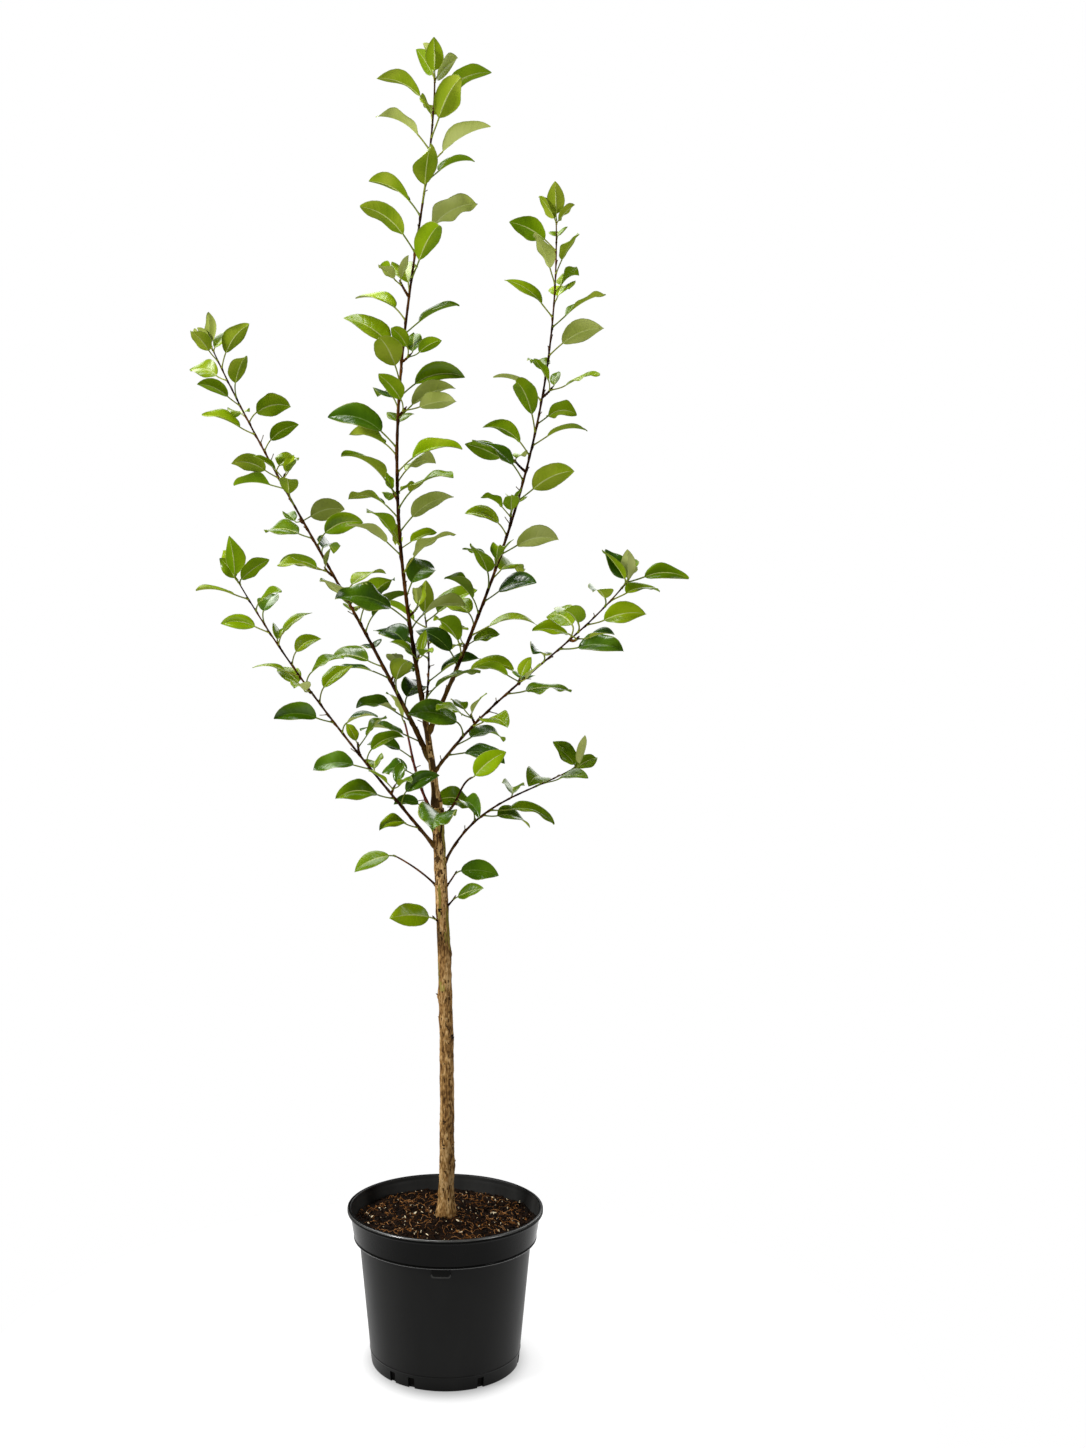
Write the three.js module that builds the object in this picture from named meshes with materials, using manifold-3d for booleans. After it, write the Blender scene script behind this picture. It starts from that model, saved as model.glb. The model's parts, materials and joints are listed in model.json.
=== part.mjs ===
// A young apple tree in a round nursery pot: a straight clean trunk up to its fork, seven boughs and their
// leafy shoots. Millimetres, +Z up, +X to the right and +Y away from the viewer. The origin is at the centre
// of the pot's flat underside.
import * as THREE from "three";
import { mergeVertices } from "three/addons/utils/BufferGeometryUtils.js";
import Module from "manifold-3d";

// The gap between two pieces that touch.
const CLEARANCE = 0.3;

// The pot is a 190 mm nursery container of about 3 litres, moulded with a deep band under its rim.
const POT = {
  height: 147.8,
  footRadius: 71.5,
  footBevel: 1.2,
  taper: 0.1, // how much the wall's radius grows for each millimetre of height
  wall: 1.8,
  floor: 2.4,
  bandBottom: 119,
  bandRadius: 88.6,
  bandTopRadius: 92.3,
  rimBottom: 143.1,
  rimRadius: 95,
  rimInnerRadius: 91.2,
  sides: 40,
};
// Drainage slots cut the corner between wall and floor, three in each third of the circle.
const SLOT = { width: 6.4, height: 10, reach: 7, angles: [-43, -26, 27], repeat: 3 };
// A moulded lug under the band, a little left of the front.
const LUG = { centre: -4, width: 19, height: 10, corner: 2.6, proud: 2 };
// The compost is heaped slightly round the trunk.
const SOIL = { centreHeight: 139, edgeHeight: 134.5, flatRadius: 13 };

const TRUNK = {
  curve: [[0.5, 0, 139], [4, 0, 268], [0, 0, 401], [-8, 0, 533]],
  foot: 6.9,
  tip: 5.2,
  flare: 2.5, // added to the radius where the trunk meets the compost
  flareLength: 28,
  knotGap: 41,
  knotSize: 3.4,
  sides: 14,
  steps: 16,
};

// Each limb is one smooth curve. It starts inside its parent at the height foot, and curve gives its other
// control points. Its radius is largest at the foot, falls to slim over the first quarter and then tapers to
// the tip. bare is the leafless length before the first leaf. leaves has one sign for each 12 mm of stem from
// there on: a clock hour seen from above (0 away from the viewer, 3 right, 6 towards the viewer, 9 left, a
// and b for 10 and 11) for a leaf, or a dot for none. crest gives the hours of the leaves at the tip. Leaf
// lengths, the rise of a blade where it starts and its droop along its length, in degrees, go from the first
// value at the foot to the second at the tip. lean tips a blade to show in front: its upper side low in the
// crown, and more often its underside high up.
const LIMBS = [
  {
    name: "leader",
    parent: "trunk",
    foot: 533,
    curve: [[-23, -5, 710], [-99, -15, 867], [-9, -28, 1078], [-10, -40, 1226]],
    radius: { foot: 4.3, slim: 2.1, tip: 0.8 },
    bare: 100,
    leaves: "4..0a.28.1.4983a4813a903b27.9.3a.05.93.a6.2495093",
    crest: "a61",
    leaf: [54, 46],
    rise: [34, 46],
    droop: [56, 42],
    lean: 14,
    seed: 11,
  },
  {
    name: "right_leader",
    parent: "leader",
    foot: 604,
    curve: [[68, 19, 793], [115, 54, 942], [115, 90, 1138]],
    radius: { foot: 2.5, slim: 1.7, tip: 0.7 },
    bare: 59,
    leaves: "4a7.3a8471.3.a.04.9.a372.a.0.4..391275.90",
    crest: "a28",
    leaf: [49, 43],
    rise: [30, 46],
    droop: [56, 42],
    lean: 16,
    seed: 23,
  },
  {
    name: "left_high",
    parent: "leader",
    foot: 576,
    curve: [[-86, 26, 731], [-177, 77, 866], [-247, 120, 1013]],
    radius: { foot: 2.8, slim: 1.8, tip: 0.7 },
    bare: 25,
    leaves: "9.81438a0.34.72.9.03a..6.a81.3.92b85.a47",
    crest: "91",
    leaf: [48, 37],
    rise: [26, 42],
    droop: [58, 40],
    lean: 22,
    seed: 37,
  },
  {
    name: "left_low",
    parent: "trunk",
    foot: 490,
    curve: [[-76, -20, 577], [-140, -63, 657], [-186, -110, 744]],
    radius: { foot: 2.1, slim: 1.4, tip: 0.6 },
    bare: 33,
    leaves: "8.28.093..49.2.492039148",
    crest: "92",
    leaf: [40, 33],
    rise: [20, 38],
    droop: [60, 42],
    lean: 30,
    seed: 41,
  },
  {
    name: "right_mid",
    parent: "leader",
    foot: 566,
    curve: [[41, -22, 644], [116, -70, 682], [161, -120, 741]],
    radius: { foot: 1.7, slim: 1.3, tip: 0.6 },
    bare: 25,
    leaves: "4285...30..7.4b73.7203",
    crest: "82",
    leaf: [48, 42],
    rise: [24, 38],
    droop: [60, 46],
    lean: 28,
    seed: 53,
  },
  {
    name: "right_low",
    parent: "trunk",
    foot: 470,
    curve: [[23, 22, 541], [88, 57, 544], [136, 90, 571]],
    radius: { foot: 1.7, slim: 1.3, tip: 0.6 },
    bare: 62,
    leaves: "823.0..74.",
    crest: "93",
    leaf: [46, 36],
    rise: [24, 34],
    droop: [70, 52],
    lean: 32,
    seed: 67,
  },
  {
    name: "back_shoot",
    parent: "leader",
    foot: 624,
    curve: [[-13, 39, 677], [-18, 80, 705], [-21, 99, 726]],
    radius: { foot: 1.4, slim: 1.1, tip: 0.7 },
    bare: 30,
    leaves: ".4..9.1.a2",
    crest: "630",
    leaf: [46, 50],
    rise: [34, 58],
    droop: [50, 30],
    lean: 12,
    seed: 71,
  },
  {
    name: "left_spur",
    parent: "trunk",
    foot: 521,
    curve: [[-31, 10, 555], [-33, 32, 591], [-41, 50, 617]],
    radius: { foot: 2.0, slim: 1.5, tip: 1.0 },
    bare: 0,
    leaves: ".8..a.9",
    crest: "8b",
    leaf: [26, 42],
    rise: [24, 30],
    droop: [60, 60],
    lean: 36,
    seed: 83,
  },
  {
    name: "right_spur",
    parent: "trunk",
    foot: 523,
    curve: [[15, -15, 534], [11, -37, 557], [24, -60, 565]],
    radius: { foot: 1.6, slim: 1.2, tip: 0.9 },
    bare: 0,
    leaves: "...5",
    crest: "341",
    leaf: [36, 46],
    rise: [20, 30],
    droop: [64, 60],
    lean: 36,
    seed: 89,
  },
  {
    name: "low_twig",
    parent: "trunk",
    foot: 452,
    curve: [[-18, 6, 468], [-36, 20, 478], [-50, 30, 484]],
    radius: { foot: 1.5, slim: 1.1, tip: 0.8 },
    bare: 0,
    leaves: "",
    crest: "9",
    leaf: [56, 56],
    rise: [-50, -50],
    droop: [80, 80],
    lean: 34,
    seed: 97,
  },
  {
    name: "fork_leaf",
    parent: "trunk",
    foot: 498,
    curve: [[-4, -9, 510], [-3, -15, 524]],
    radius: { foot: 1.2, slim: 1.0, tip: 0.8 },
    bare: 0,
    leaves: "",
    crest: "6",
    leaf: [96, 96],
    rise: [-56, -56],
    droop: [70, 70],
    lean: 10,
    seed: 101,
  },
  {
    name: "trunk_leaf_left",
    parent: "trunk",
    foot: 418,
    curve: [[-7, -4, 423], [-11, -7, 428]],
    radius: { foot: 1.2, slim: 1.0, tip: 0.8 },
    bare: 0,
    leaves: "",
    crest: "8",
    leaf: [60, 60],
    rise: [-40, -40],
    droop: [52, 52],
    lean: 40,
    seed: 103,
  },
  {
    name: "trunk_leaf_right",
    parent: "trunk",
    foot: 434,
    curve: [[5, -2, 440], [9, -4, 447]],
    radius: { foot: 1.2, slim: 1.0, tip: 0.8 },
    bare: 0,
    leaves: "",
    crest: "4",
    leaf: [44, 44],
    rise: [-34, -34],
    droop: [44, 44],
    lean: 36,
    seed: 107,
  },
  {
    name: "trunk_leaf_upper",
    parent: "trunk",
    foot: 451,
    curve: [[4, 1, 460], [10, 2, 470]],
    radius: { foot: 1.2, slim: 1.0, tip: 0.8 },
    bare: 0,
    leaves: "",
    crest: "3",
    leaf: [54, 54],
    rise: [-50, -50],
    droop: [52, 52],
    lean: 30,
    seed: 109,
  },
];

const NODE_GAP = 12; // stem length for each sign in a limb's leaves
const SWELL = 0.26; // the share of a limb over which its foot narrows to its slim radius
const LIMB_SIDES = 7;
const STEM_SIDES = 5;
const LIMB_STEP = 26; // the longest straight piece of a limb
const BOUGH_STOP = 7; // a bough ends this far before the first leaf
const FOOT_ROOM = 14; // a limb that passes a foot within twice this is cut clear of it

// Angles are in degrees, and a spread is the lowest and highest share or angle that chance gives a leaf.
const LEAF = {
  width: 0.56, // of the length
  thickness: 0.9,
  petiole: 0.3, // of the length, and petioleBase is added to it
  petioleBase: 4,
  petioleAngle: 42, // between stem and petiole
  petioleRadius: 0.6,
  knee: 0.62, // the share of the petiole before it bends over to the blade
  petioleRings: [0, 0.96], // shares of the petiole and of the blade where a ring lies
  bladeRings: [0.24, 0.5, 0.77],
  fold: 24, // how far each half is folded up from the midrib
  stemLift: 0.45, // the share of the rise that follows the stem's own slope
  steepest: 84,
  droopPower: 1.2,
  crestRise: 24, // added to the rise of the leaves at a tip
  crestAngle: 0.5, // shares of the petiole's angle, the droop, the size and the petiole at a tip
  crestDroop: 0.6,
  crestSize: 0.76,
  crestPetiole: 0.4,
  lean: 50, // the most that a leaf leans to the light beyond its limb's lean
  leanPower: 2.2,
  allUpper: 620, // below this height every leaf shows its upper side in front
  noneUpper: 1200, // above this height every leaf shows its underside
  sizeSpread: [0.84, 1.12],
  riseSpread: [-9, 9],
  droopSpread: [0.75, 1.25],
  foldSpread: [0.55, 1.4],
  rollSpread: [-14, 14],
  hourSpread: [-0.4, 0.4], // clock hours
  placeSpread: [-3, 3], // millimetres of stem
  crestSpread: [-1, -4],
};
// A leaf that comes nearer than this to another leaf or to a limb's bark is turned by so many clock hours,
// or left out where no turn helps. The probes are points across a blade that are tested.
const ROOM = {
  leaf: 7,
  ownLeaf: 4.5,
  limb: 5,
  ownLimb: 2,
  turns: [0, 0.6, -0.6, 1.2, -1.2, 1.8, -1.8, 2.4, -2.4],
  probeShares: [0.14, 0.3, 0.46, 0.62, 0.78, 0.94],
  probeSides: [-0.9, 0, 0.9],
  barkStep: 7,
};

const COLOURS = {
  pot: { color: 0x252524, roughness: 0.42, metalness: 0 },
  soil: { color: 0x35200f, roughness: 0.95, metalness: 0 },
  trunk: { color: 0x84693f, roughness: 0.8, metalness: 0 },
  bough: { color: 0x4a3020, roughness: 0.7, metalness: 0 },
  foliage: { color: 0x5c8a14, roughness: 0.45, metalness: 0 },
};

const wasm = await Module();
wasm.setup();

const radians = THREE.MathUtils.degToRad;
const mix = THREE.MathUtils.lerp;
const UP = new THREE.Vector3(0, 0, 1);
const AWAY = new THREE.Vector3(0, 1, 0);

// A closed geometry as a solid with its faces outwards.
function solidOf(geometry) {
  const bare = new THREE.BufferGeometry().setAttribute("position", geometry.getAttribute("position"));
  if (geometry.index) bare.setIndex(geometry.index);
  const merged = mergeVertices(bare, 1e-3);
  const corners = merged.index.array;
  const place = merged.getAttribute("position");
  const kept = [];
  let volume = 0;
  for (let i = 0; i < corners.length; i += 3) {
    const [a, b, c] = [corners[i], corners[i + 1], corners[i + 2]];
    if (a === b || b === c || c === a) continue;
    kept.push(a, b, c);
    const [p, q, r] = [a, b, c].map((v) => new THREE.Vector3().fromBufferAttribute(place, v));
    volume += p.dot(q.cross(r));
  }
  if (volume < 0) kept.reverse();
  const vertProperties = new Float32Array(place.array);
  return new wasm.Manifold(new wasm.Mesh({ numProp: 3, vertProperties, triVerts: new Uint32Array(kept) }));
}

// The largest body of a solid, as a named mesh.
function meshOf(name, solid, look) {
  const body = solid.decompose().reduce((a, b) => (b.volume() > a.volume() ? b : a));
  const made = body.getMesh();
  const points = new Float32Array(made.numVert * 3);
  for (let i = 0; i < made.numVert; i++) {
    points.set(made.vertProperties.subarray(i * made.numProp, i * made.numProp + 3), i * 3);
  }
  const geometry = new THREE.BufferGeometry();
  geometry.setAttribute("position", new THREE.BufferAttribute(points, 3));
  geometry.setIndex(new THREE.BufferAttribute(new Uint32Array(made.triVerts), 1));
  geometry.computeVertexNormals();
  const mesh = new THREE.Mesh(geometry, new THREE.MeshStandardMaterial(COLOURS[look]));
  mesh.name = name;
  return mesh;
}

// A profile of radius and height, turned about the upright axis.
function turned(profile, sides) {
  return solidOf(new THREE.LatheGeometry(profile, sides).rotateX(Math.PI / 2));
}

// A seeded stream of even random numbers from 0 to 1.
function stream(seed) {
  let state = seed;
  return () => {
    state = (state * 1664525 + 1013904223) % 4294967296;
    return state / 4294967296;
  };
}

// A curve of any degree through its control points, measured by length.
class Limb {
  constructor(points, radiusAt) {
    this.control = points.map((p) => new THREE.Vector3(...p));
    this.radiusAt = radiusAt;
    this.stations = 240;
    this.lengths = [0];
    let last = this.bend(0);
    for (let i = 1; i <= this.stations; i++) {
      const next = this.bend(i / this.stations);
      this.lengths.push(this.lengths[i - 1] + next.distanceTo(last));
      last = next;
    }
    this.length = this.lengths[this.stations];
  }

  bend(t) {
    let row = this.control.map((p) => p.clone());
    while (row.length > 1) row = row.slice(1).map((p, i) => row[i].clone().lerp(p, t));
    return row[0];
  }

  // The point at a length along the limb.
  at(length) {
    const wanted = THREE.MathUtils.clamp(length, 0, this.length);
    let i = 1;
    while (i < this.stations && this.lengths[i] < wanted) i++;
    const inside = (wanted - this.lengths[i - 1]) / (this.lengths[i] - this.lengths[i - 1]);
    return this.bend((i - 1 + inside) / this.stations);
  }

  // The first point that is as high as asked, or the limb's end.
  atHeight(height) {
    let length = 0;
    while (length < this.length && this.at(length).z < height) length += 0.5;
    return this.at(length);
  }

  // The direction at a length along the limb.
  along(length) {
    const middle = THREE.MathUtils.clamp(length, 1, this.length - 1);
    return this.at(middle + 1).sub(this.at(middle - 1)).normalize();
  }

  radius(length) {
    return this.radiusAt(length / this.length, length);
  }
}

// A tapering tube with closed ends, from one length along a limb to another, grown outwards by extra and
// past its far end by longer.
function tube(limb, from, to, sides, steps, extra = 0, longer = 0) {
  const geometry = new THREE.CylinderGeometry(1, 1, 1, sides, steps);
  const place = geometry.getAttribute("position");
  for (let i = 0; i < place.count; i++) {
    const share = place.getY(i) + 0.5;
    const length = mix(from, to, share);
    const along = limb.along(length);
    const side = new THREE.Vector3().crossVectors(along, AWAY).normalize();
    const front = new THREE.Vector3().crossVectors(along, side);
    const reach = limb.radius(length) + extra;
    const point = limb
      .at(length)
      .addScaledVector(along, share === 1 ? longer : 0)
      .addScaledVector(side, place.getX(i) * reach)
      .addScaledVector(front, place.getZ(i) * reach);
    place.setXYZ(i, point.x, point.y, point.z);
  }
  return solidOf(geometry);
}

// Outer wall, rim, inner wall and floor of the pot as one profile.
function potProfile() {
  const { footRadius, footBevel, taper, wall, floor, height } = POT;
  const wallAt = (z) => footRadius + taper * z;
  const lip = (POT.rimRadius - POT.rimInnerRadius) / 2;
  const path = new THREE.Path();
  path.moveTo(0, 0);
  path.lineTo(footRadius - footBevel, 0);
  path.lineTo(wallAt(footBevel), footBevel);
  path.lineTo(wallAt(POT.bandBottom), POT.bandBottom);
  path.lineTo(POT.bandRadius - 1, POT.bandBottom);
  path.lineTo(POT.bandRadius, POT.bandBottom + 1);
  path.lineTo(POT.bandTopRadius, POT.rimBottom);
  path.lineTo(POT.rimRadius - 0.6, POT.rimBottom + 0.6);
  path.lineTo(POT.rimRadius, POT.rimBottom + lip);
  path.lineTo(POT.rimRadius - 0.8, height - 0.5);
  path.lineTo(POT.rimRadius - lip, height);
  path.lineTo(POT.rimInnerRadius, height - 1.2);
  path.lineTo(POT.bandTopRadius - wall, POT.rimBottom);
  path.lineTo(POT.bandRadius - wall, POT.bandBottom + wall);
  path.lineTo(wallAt(POT.bandBottom) - wall, POT.bandBottom + wall);
  path.lineTo(wallAt(floor) - wall, floor);
  path.lineTo(0, floor);
  return path.getPoints();
}

function slot(angle) {
  const box = new THREE.BoxGeometry(SLOT.width, SLOT.reach, SLOT.height * 2);
  box.translate(0, -POT.footRadius, 0);
  return solidOf(box.rotateZ(radians(angle)));
}

// The lug follows the pot's wall: a block cut back to a ring just proud of it.
function lug() {
  const half = LUG.width / 2;
  const top = POT.bandBottom + 1;
  const bottom = top - LUG.height;
  const outline = new THREE.Shape();
  outline.moveTo(-half, top);
  outline.lineTo(-half, bottom + LUG.corner);
  outline.quadraticCurveTo(-half, bottom, -half + LUG.corner, bottom);
  outline.lineTo(half - LUG.corner, bottom);
  outline.quadraticCurveTo(half, bottom, half, bottom + LUG.corner);
  outline.lineTo(half, top);
  const block = new THREE.ExtrudeGeometry(outline, { depth: 20, bevelEnabled: false, curveSegments: 3 });
  block.rotateX(Math.PI / 2);
  const inner = POT.footRadius + POT.taper * bottom;
  block.translate(LUG.centre, -inner + 10, 0);
  const ring = new THREE.Path();
  ring.moveTo(0, bottom - 1);
  ring.lineTo(inner + LUG.proud, bottom - 1);
  ring.lineTo(inner + LUG.proud, top + 1);
  ring.lineTo(0, top + 1);
  return solidOf(block).intersect(turned(ring.getPoints(), POT.sides));
}

function pot() {
  let body = turned(potProfile(), POT.sides);
  const inside = new THREE.Path();
  const wallAt = (z) => POT.footRadius + POT.taper * z - POT.wall;
  inside.moveTo(0, POT.floor);
  inside.lineTo(wallAt(POT.floor), POT.floor);
  inside.lineTo(wallAt(POT.bandBottom), POT.bandBottom + 1);
  inside.lineTo(0, POT.bandBottom + 1);
  body = body.add(lug().subtract(turned(inside.getPoints(), POT.sides)));
  for (let turn = 0; turn < SLOT.repeat; turn++) {
    for (const angle of SLOT.angles) body = body.subtract(slot(angle + (turn * 360) / SLOT.repeat));
  }
  return body;
}

// The compost fills the pot to just under its rim, a hair clear of the wall.
function soil() {
  const fit = POT.wall + CLEARANCE;
  const wallAt = (z) => POT.footRadius + POT.taper * z - fit;
  const ledge = POT.bandBottom + POT.wall + CLEARANCE;
  const bandAt = (z) =>
    mix(POT.bandRadius, POT.bandTopRadius, (z - POT.bandBottom) / (POT.rimBottom - POT.bandBottom)) - fit;
  const low = POT.floor + CLEARANCE;
  const profile = [
    [0, low],
    [wallAt(low), low],
    [wallAt(ledge), ledge],
    [bandAt(ledge), ledge],
    [bandAt(SOIL.edgeHeight), SOIL.edgeHeight],
    [SOIL.flatRadius * 3, mix(SOIL.centreHeight, SOIL.edgeHeight, 0.4)],
    [SOIL.flatRadius, SOIL.centreHeight - CLEARANCE],
    [0, SOIL.centreHeight - CLEARANCE],
  ];
  return turned(profile.map(([r, z]) => new THREE.Vector2(r, z)), POT.sides);
}

const trunk = new Limb(TRUNK.curve, (share, length) => {
  const flare = Math.max(0, 1 - length / TRUNK.flareLength);
  return mix(TRUNK.foot, TRUNK.tip, share) + TRUNK.flare * flare * flare;
});

// The trunk with its old bud scars, which stand round it in a slow spiral.
function trunkSolid() {
  let body = tube(trunk, 0, trunk.length, TRUNK.sides, TRUNK.steps);
  const knots = Math.floor((trunk.length - TRUNK.flareLength) / TRUNK.knotGap);
  for (let i = 0; i < knots; i++) {
    const length = TRUNK.flareLength + (i + 0.5) * TRUNK.knotGap;
    const turn = radians(i * 144 + 60);
    const out = new THREE.Vector3(Math.sin(turn), Math.cos(turn), 0);
    const centre = trunk.at(length).addScaledVector(out, trunk.radius(length) - TRUNK.knotSize * 0.55);
    const knot = new THREE.IcosahedronGeometry(TRUNK.knotSize, 0);
    body = body.add(solidOf(knot.translate(centre.x, centre.y, centre.z)));
  }
  // The flat cut at the level of the compost.
  const below = new THREE.BoxGeometry(60, 60, 20).translate(0, 0, SOIL.centreHeight - 10);
  return body.subtract(solidOf(below));
}

const limbs = new Map([["trunk", trunk]]);
for (const row of LIMBS) {
  const { foot, slim, tip } = row.radius;
  const swell = (share) => Math.pow(Math.max(0, 1 - share / SWELL), 1.5);
  const start = limbs.get(row.parent).atHeight(row.foot).toArray();
  const radiusAt = (share) => mix(slim, tip, share) + (foot - slim) * swell(share);
  limbs.set(row.name, new Limb([start, ...row.curve], radiusAt));
}

const stepsFor = (length) => Math.max(2, Math.ceil(length / LIMB_STEP));

// The trunk and every limb listed before a row, grown by the gap, to cut the row's foot clear of them.
function socket(row) {
  const foot = limbs.get(row.name).at(0);
  let grown = null;
  for (const [name, limb] of limbs) {
    if (name === row.name) break;
    const near = limb.atHeight(foot.z - FOOT_ROOM).distanceTo(foot) < FOOT_ROOM * 2;
    if (!near) continue;
    const sides = name === "trunk" ? TRUNK.sides : LIMB_SIDES;
    const steps = name === "trunk" ? TRUNK.steps : stepsFor(limb.length);
    const sleeve = tube(limb, 0, limb.length, sides, steps, CLEARANCE, CLEARANCE);
    grown = grown ? grown.add(sleeve) : sleeve;
  }
  return grown;
}

// One leaf's shape in space: where it leaves the stem, its petiole and the line of its midrib.
function poseLeaf(row, stemLength, hour, share, crest, luck) {
  const limb = limbs.get(row.name);
  const root = limb.at(stemLength);
  const turn = radians(hour * 30);
  const out = new THREE.Vector3(Math.sin(turn), Math.cos(turn), 0);
  const stem = limb.along(stemLength);
  const across = out.clone().addScaledVector(stem, -stem.dot(out));
  if (across.length() < 0.2) across.copy(UP).addScaledVector(stem, -stem.z);
  across.normalize();
  const angle = radians(LEAF.petioleAngle * (crest ? LEAF.crestAngle : 1));
  const leave = stem.clone().multiplyScalar(Math.cos(angle)).addScaledVector(across, Math.sin(angle));
  const size = mix(...row.leaf, share) * (crest ? LEAF.crestSize : 1) * mix(...LEAF.sizeSpread, luck[0]);
  const lift = THREE.MathUtils.radToDeg(Math.asin(leave.z));
  const rise =
    mix(mix(...row.rise, share), lift, LEAF.stemLift) +
    (crest ? LEAF.crestRise : 0) +
    mix(...LEAF.riseSpread, luck[1]);
  const droop = mix(...row.droop, share) * (crest ? LEAF.crestDroop : 1) * mix(...LEAF.droopSpread, luck[2]);
  const side = new THREE.Vector3().crossVectors(out, UP);
  const lean = row.lean + LEAF.lean * Math.pow(luck[3], LEAF.leanPower);
  const upper = luck[5] < (LEAF.noneUpper - root.z) / (LEAF.noneUpper - LEAF.allUpper);
  const roll = radians(lean * -side.y * (upper ? 1 : -1) + mix(...LEAF.rollSpread, luck[7]));
  const fold = radians(LEAF.fold * mix(...LEAF.foldSpread, luck[4]));
  const heading = (s) => {
    const slope = radians(Math.min(rise, LEAF.steepest) - droop * Math.pow(s, LEAF.droopPower));
    return out.clone().multiplyScalar(Math.cos(slope)).addScaledVector(UP, Math.sin(slope));
  };
  const reach = (LEAF.petiole * size + LEAF.petioleBase) * (crest ? LEAF.crestPetiole : 1);
  const knee = root.clone().addScaledVector(leave, reach * LEAF.knee + limb.radius(stemLength));
  const base = knee.clone().addScaledVector(heading(0), reach * (1 - LEAF.knee));
  const midrib = [base.clone()];
  const pieces = 8;
  for (let i = 0; i < pieces; i++) {
    midrib.push(midrib[i].clone().addScaledVector(heading((i + 0.5) / pieces), size / pieces));
  }
  return { root, knee, base, midrib, heading, side, roll, fold, size };
}

// Half the blade's width at a share of its length: broadest below the middle, with a drawn-out point.
function halfWidth(s, size) {
  const oval = Math.pow(Math.sin(Math.PI * Math.pow(s, 0.8)), 0.8);
  return (LEAF.width / 2) * size * oval * (1 - 0.25 * s ** 4);
}

// A point of the blade: s along the midrib, and a distance across (to the right where positive) and above it.
function bladePoint(pose, s, across, above) {
  const at = s * (pose.midrib.length - 1);
  const low = Math.min(Math.floor(at), pose.midrib.length - 2);
  const spine = pose.midrib[low].clone().lerp(pose.midrib[low + 1], at - low);
  const ahead = pose.heading(s);
  const flat = pose.side.clone().applyAxisAngle(ahead, pose.roll);
  const normal = new THREE.Vector3().crossVectors(flat, ahead);
  return spine
    .addScaledVector(flat, across * Math.cos(pose.fold))
    .addScaledVector(normal, Math.abs(across) * Math.sin(pose.fold) + above);
}

// Points spread over a blade and its petiole, to keep it clear of what is near.
function probes(pose) {
  const points = [pose.knee, pose.base];
  for (const s of ROOM.probeShares) {
    for (const across of ROOM.probeSides) {
      points.push(bladePoint(pose, s, across * halfWidth(s, pose.size), 0));
    }
  }
  return points;
}

// Points along the middle of all the limbs, with the bark's radius there.
const barkPoints = [];
for (const [name, limb] of limbs) {
  for (let length = 0; length <= limb.length; length += ROOM.barkStep) {
    barkPoints.push({ name, at: limb.at(length), radius: limb.radius(length) });
  }
}

const placed = [];

function hasRoom(name, points) {
  const near = (a, b, room) => a.distanceToSquared(b) < room * room;
  const blade = points.slice(2);
  for (const bark of barkPoints) {
    const own = bark.name === name;
    const room = bark.radius + (own ? ROOM.ownLimb : ROOM.limb);
    if ((own ? blade : points).some((p) => near(p, bark.at, room))) return false;
  }
  for (const other of placed) {
    const room = other.name === name ? ROOM.ownLeaf : ROOM.leaf;
    if (points.some((p) => other.points.some((q) => near(p, q, room)))) return false;
  }
  return true;
}

// Where a limb's leaves are wanted, by its signs.
function leafSpots(row) {
  const end = limbs.get(row.name).length;
  const spots = [];
  [...row.leaves].forEach((sign, i) => {
    if (sign !== ".") spots.push({ hour: parseInt(sign, 12), at: row.bare + i * NODE_GAP, crest: false });
  });
  for (const sign of row.crest) spots.push({ hour: parseInt(sign, 12), at: end, crest: true });
  return spots;
}

// All the leaves of one limb, each turned until it has room.
function growLeaves(row) {
  const draw = stream(row.seed);
  const end = limbs.get(row.name).length;
  const poses = [];
  for (const spot of leafSpots(row)) {
    const luck = Array.from({ length: 8 }, draw);
    const jitter = mix(...(spot.crest ? LEAF.crestSpread : LEAF.placeSpread), luck[5]);
    const at = THREE.MathUtils.clamp(spot.at + jitter, 4, end - 1);
    const share = Math.max(0, (at - row.bare) / (end - row.bare));
    const hour = spot.hour + mix(...LEAF.hourSpread, luck[6]);
    for (const turn of ROOM.turns) {
      const pose = poseLeaf(row, at, hour + turn, share, spot.crest, luck);
      const points = probes(pose);
      if (!hasRoom(row.name, points)) continue;
      placed.push({ name: row.name, points });
      poses.push(pose);
      break;
    }
  }
  return poses;
}

// A leaf is one closed loft of four-sided rings: the petiole from inside the stem, then the blade as a thin
// lens that is folded at its midrib and runs out to a point.
function leafSolid(pose) {
  const petioleLine = new THREE.QuadraticBezierCurve3(pose.root, pose.knee, pose.base);
  const rings = [];
  for (const t of LEAF.petioleRings) {
    const ahead = petioleLine.getTangent(t);
    const side = pose.side.clone().addScaledVector(ahead, -ahead.dot(pose.side)).normalize();
    const over = new THREE.Vector3().crossVectors(side, ahead);
    rings.push((x, z) =>
      petioleLine
        .getPoint(t)
        .addScaledVector(side, x * LEAF.petioleRadius)
        .addScaledVector(over, z * LEAF.petioleRadius),
    );
  }
  for (const s of LEAF.bladeRings) {
    rings.push((x, z) => bladePoint(pose, s, x * halfWidth(s, pose.size), (z * LEAF.thickness) / 2));
  }
  rings.push(() => bladePoint(pose, 1, 0, 0));
  const geometry = new THREE.CylinderGeometry(1, 1, 1, 4, rings.length - 1);
  const place = geometry.getAttribute("position");
  for (let i = 0; i < place.count; i++) {
    const ring = rings[Math.round((place.getY(i) + 0.5) * (rings.length - 1))];
    const point = ring(Math.round(place.getX(i)), Math.round(place.getZ(i)));
    place.setXYZ(i, point.x, point.y, point.z);
  }
  return solidOf(geometry);
}

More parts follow.
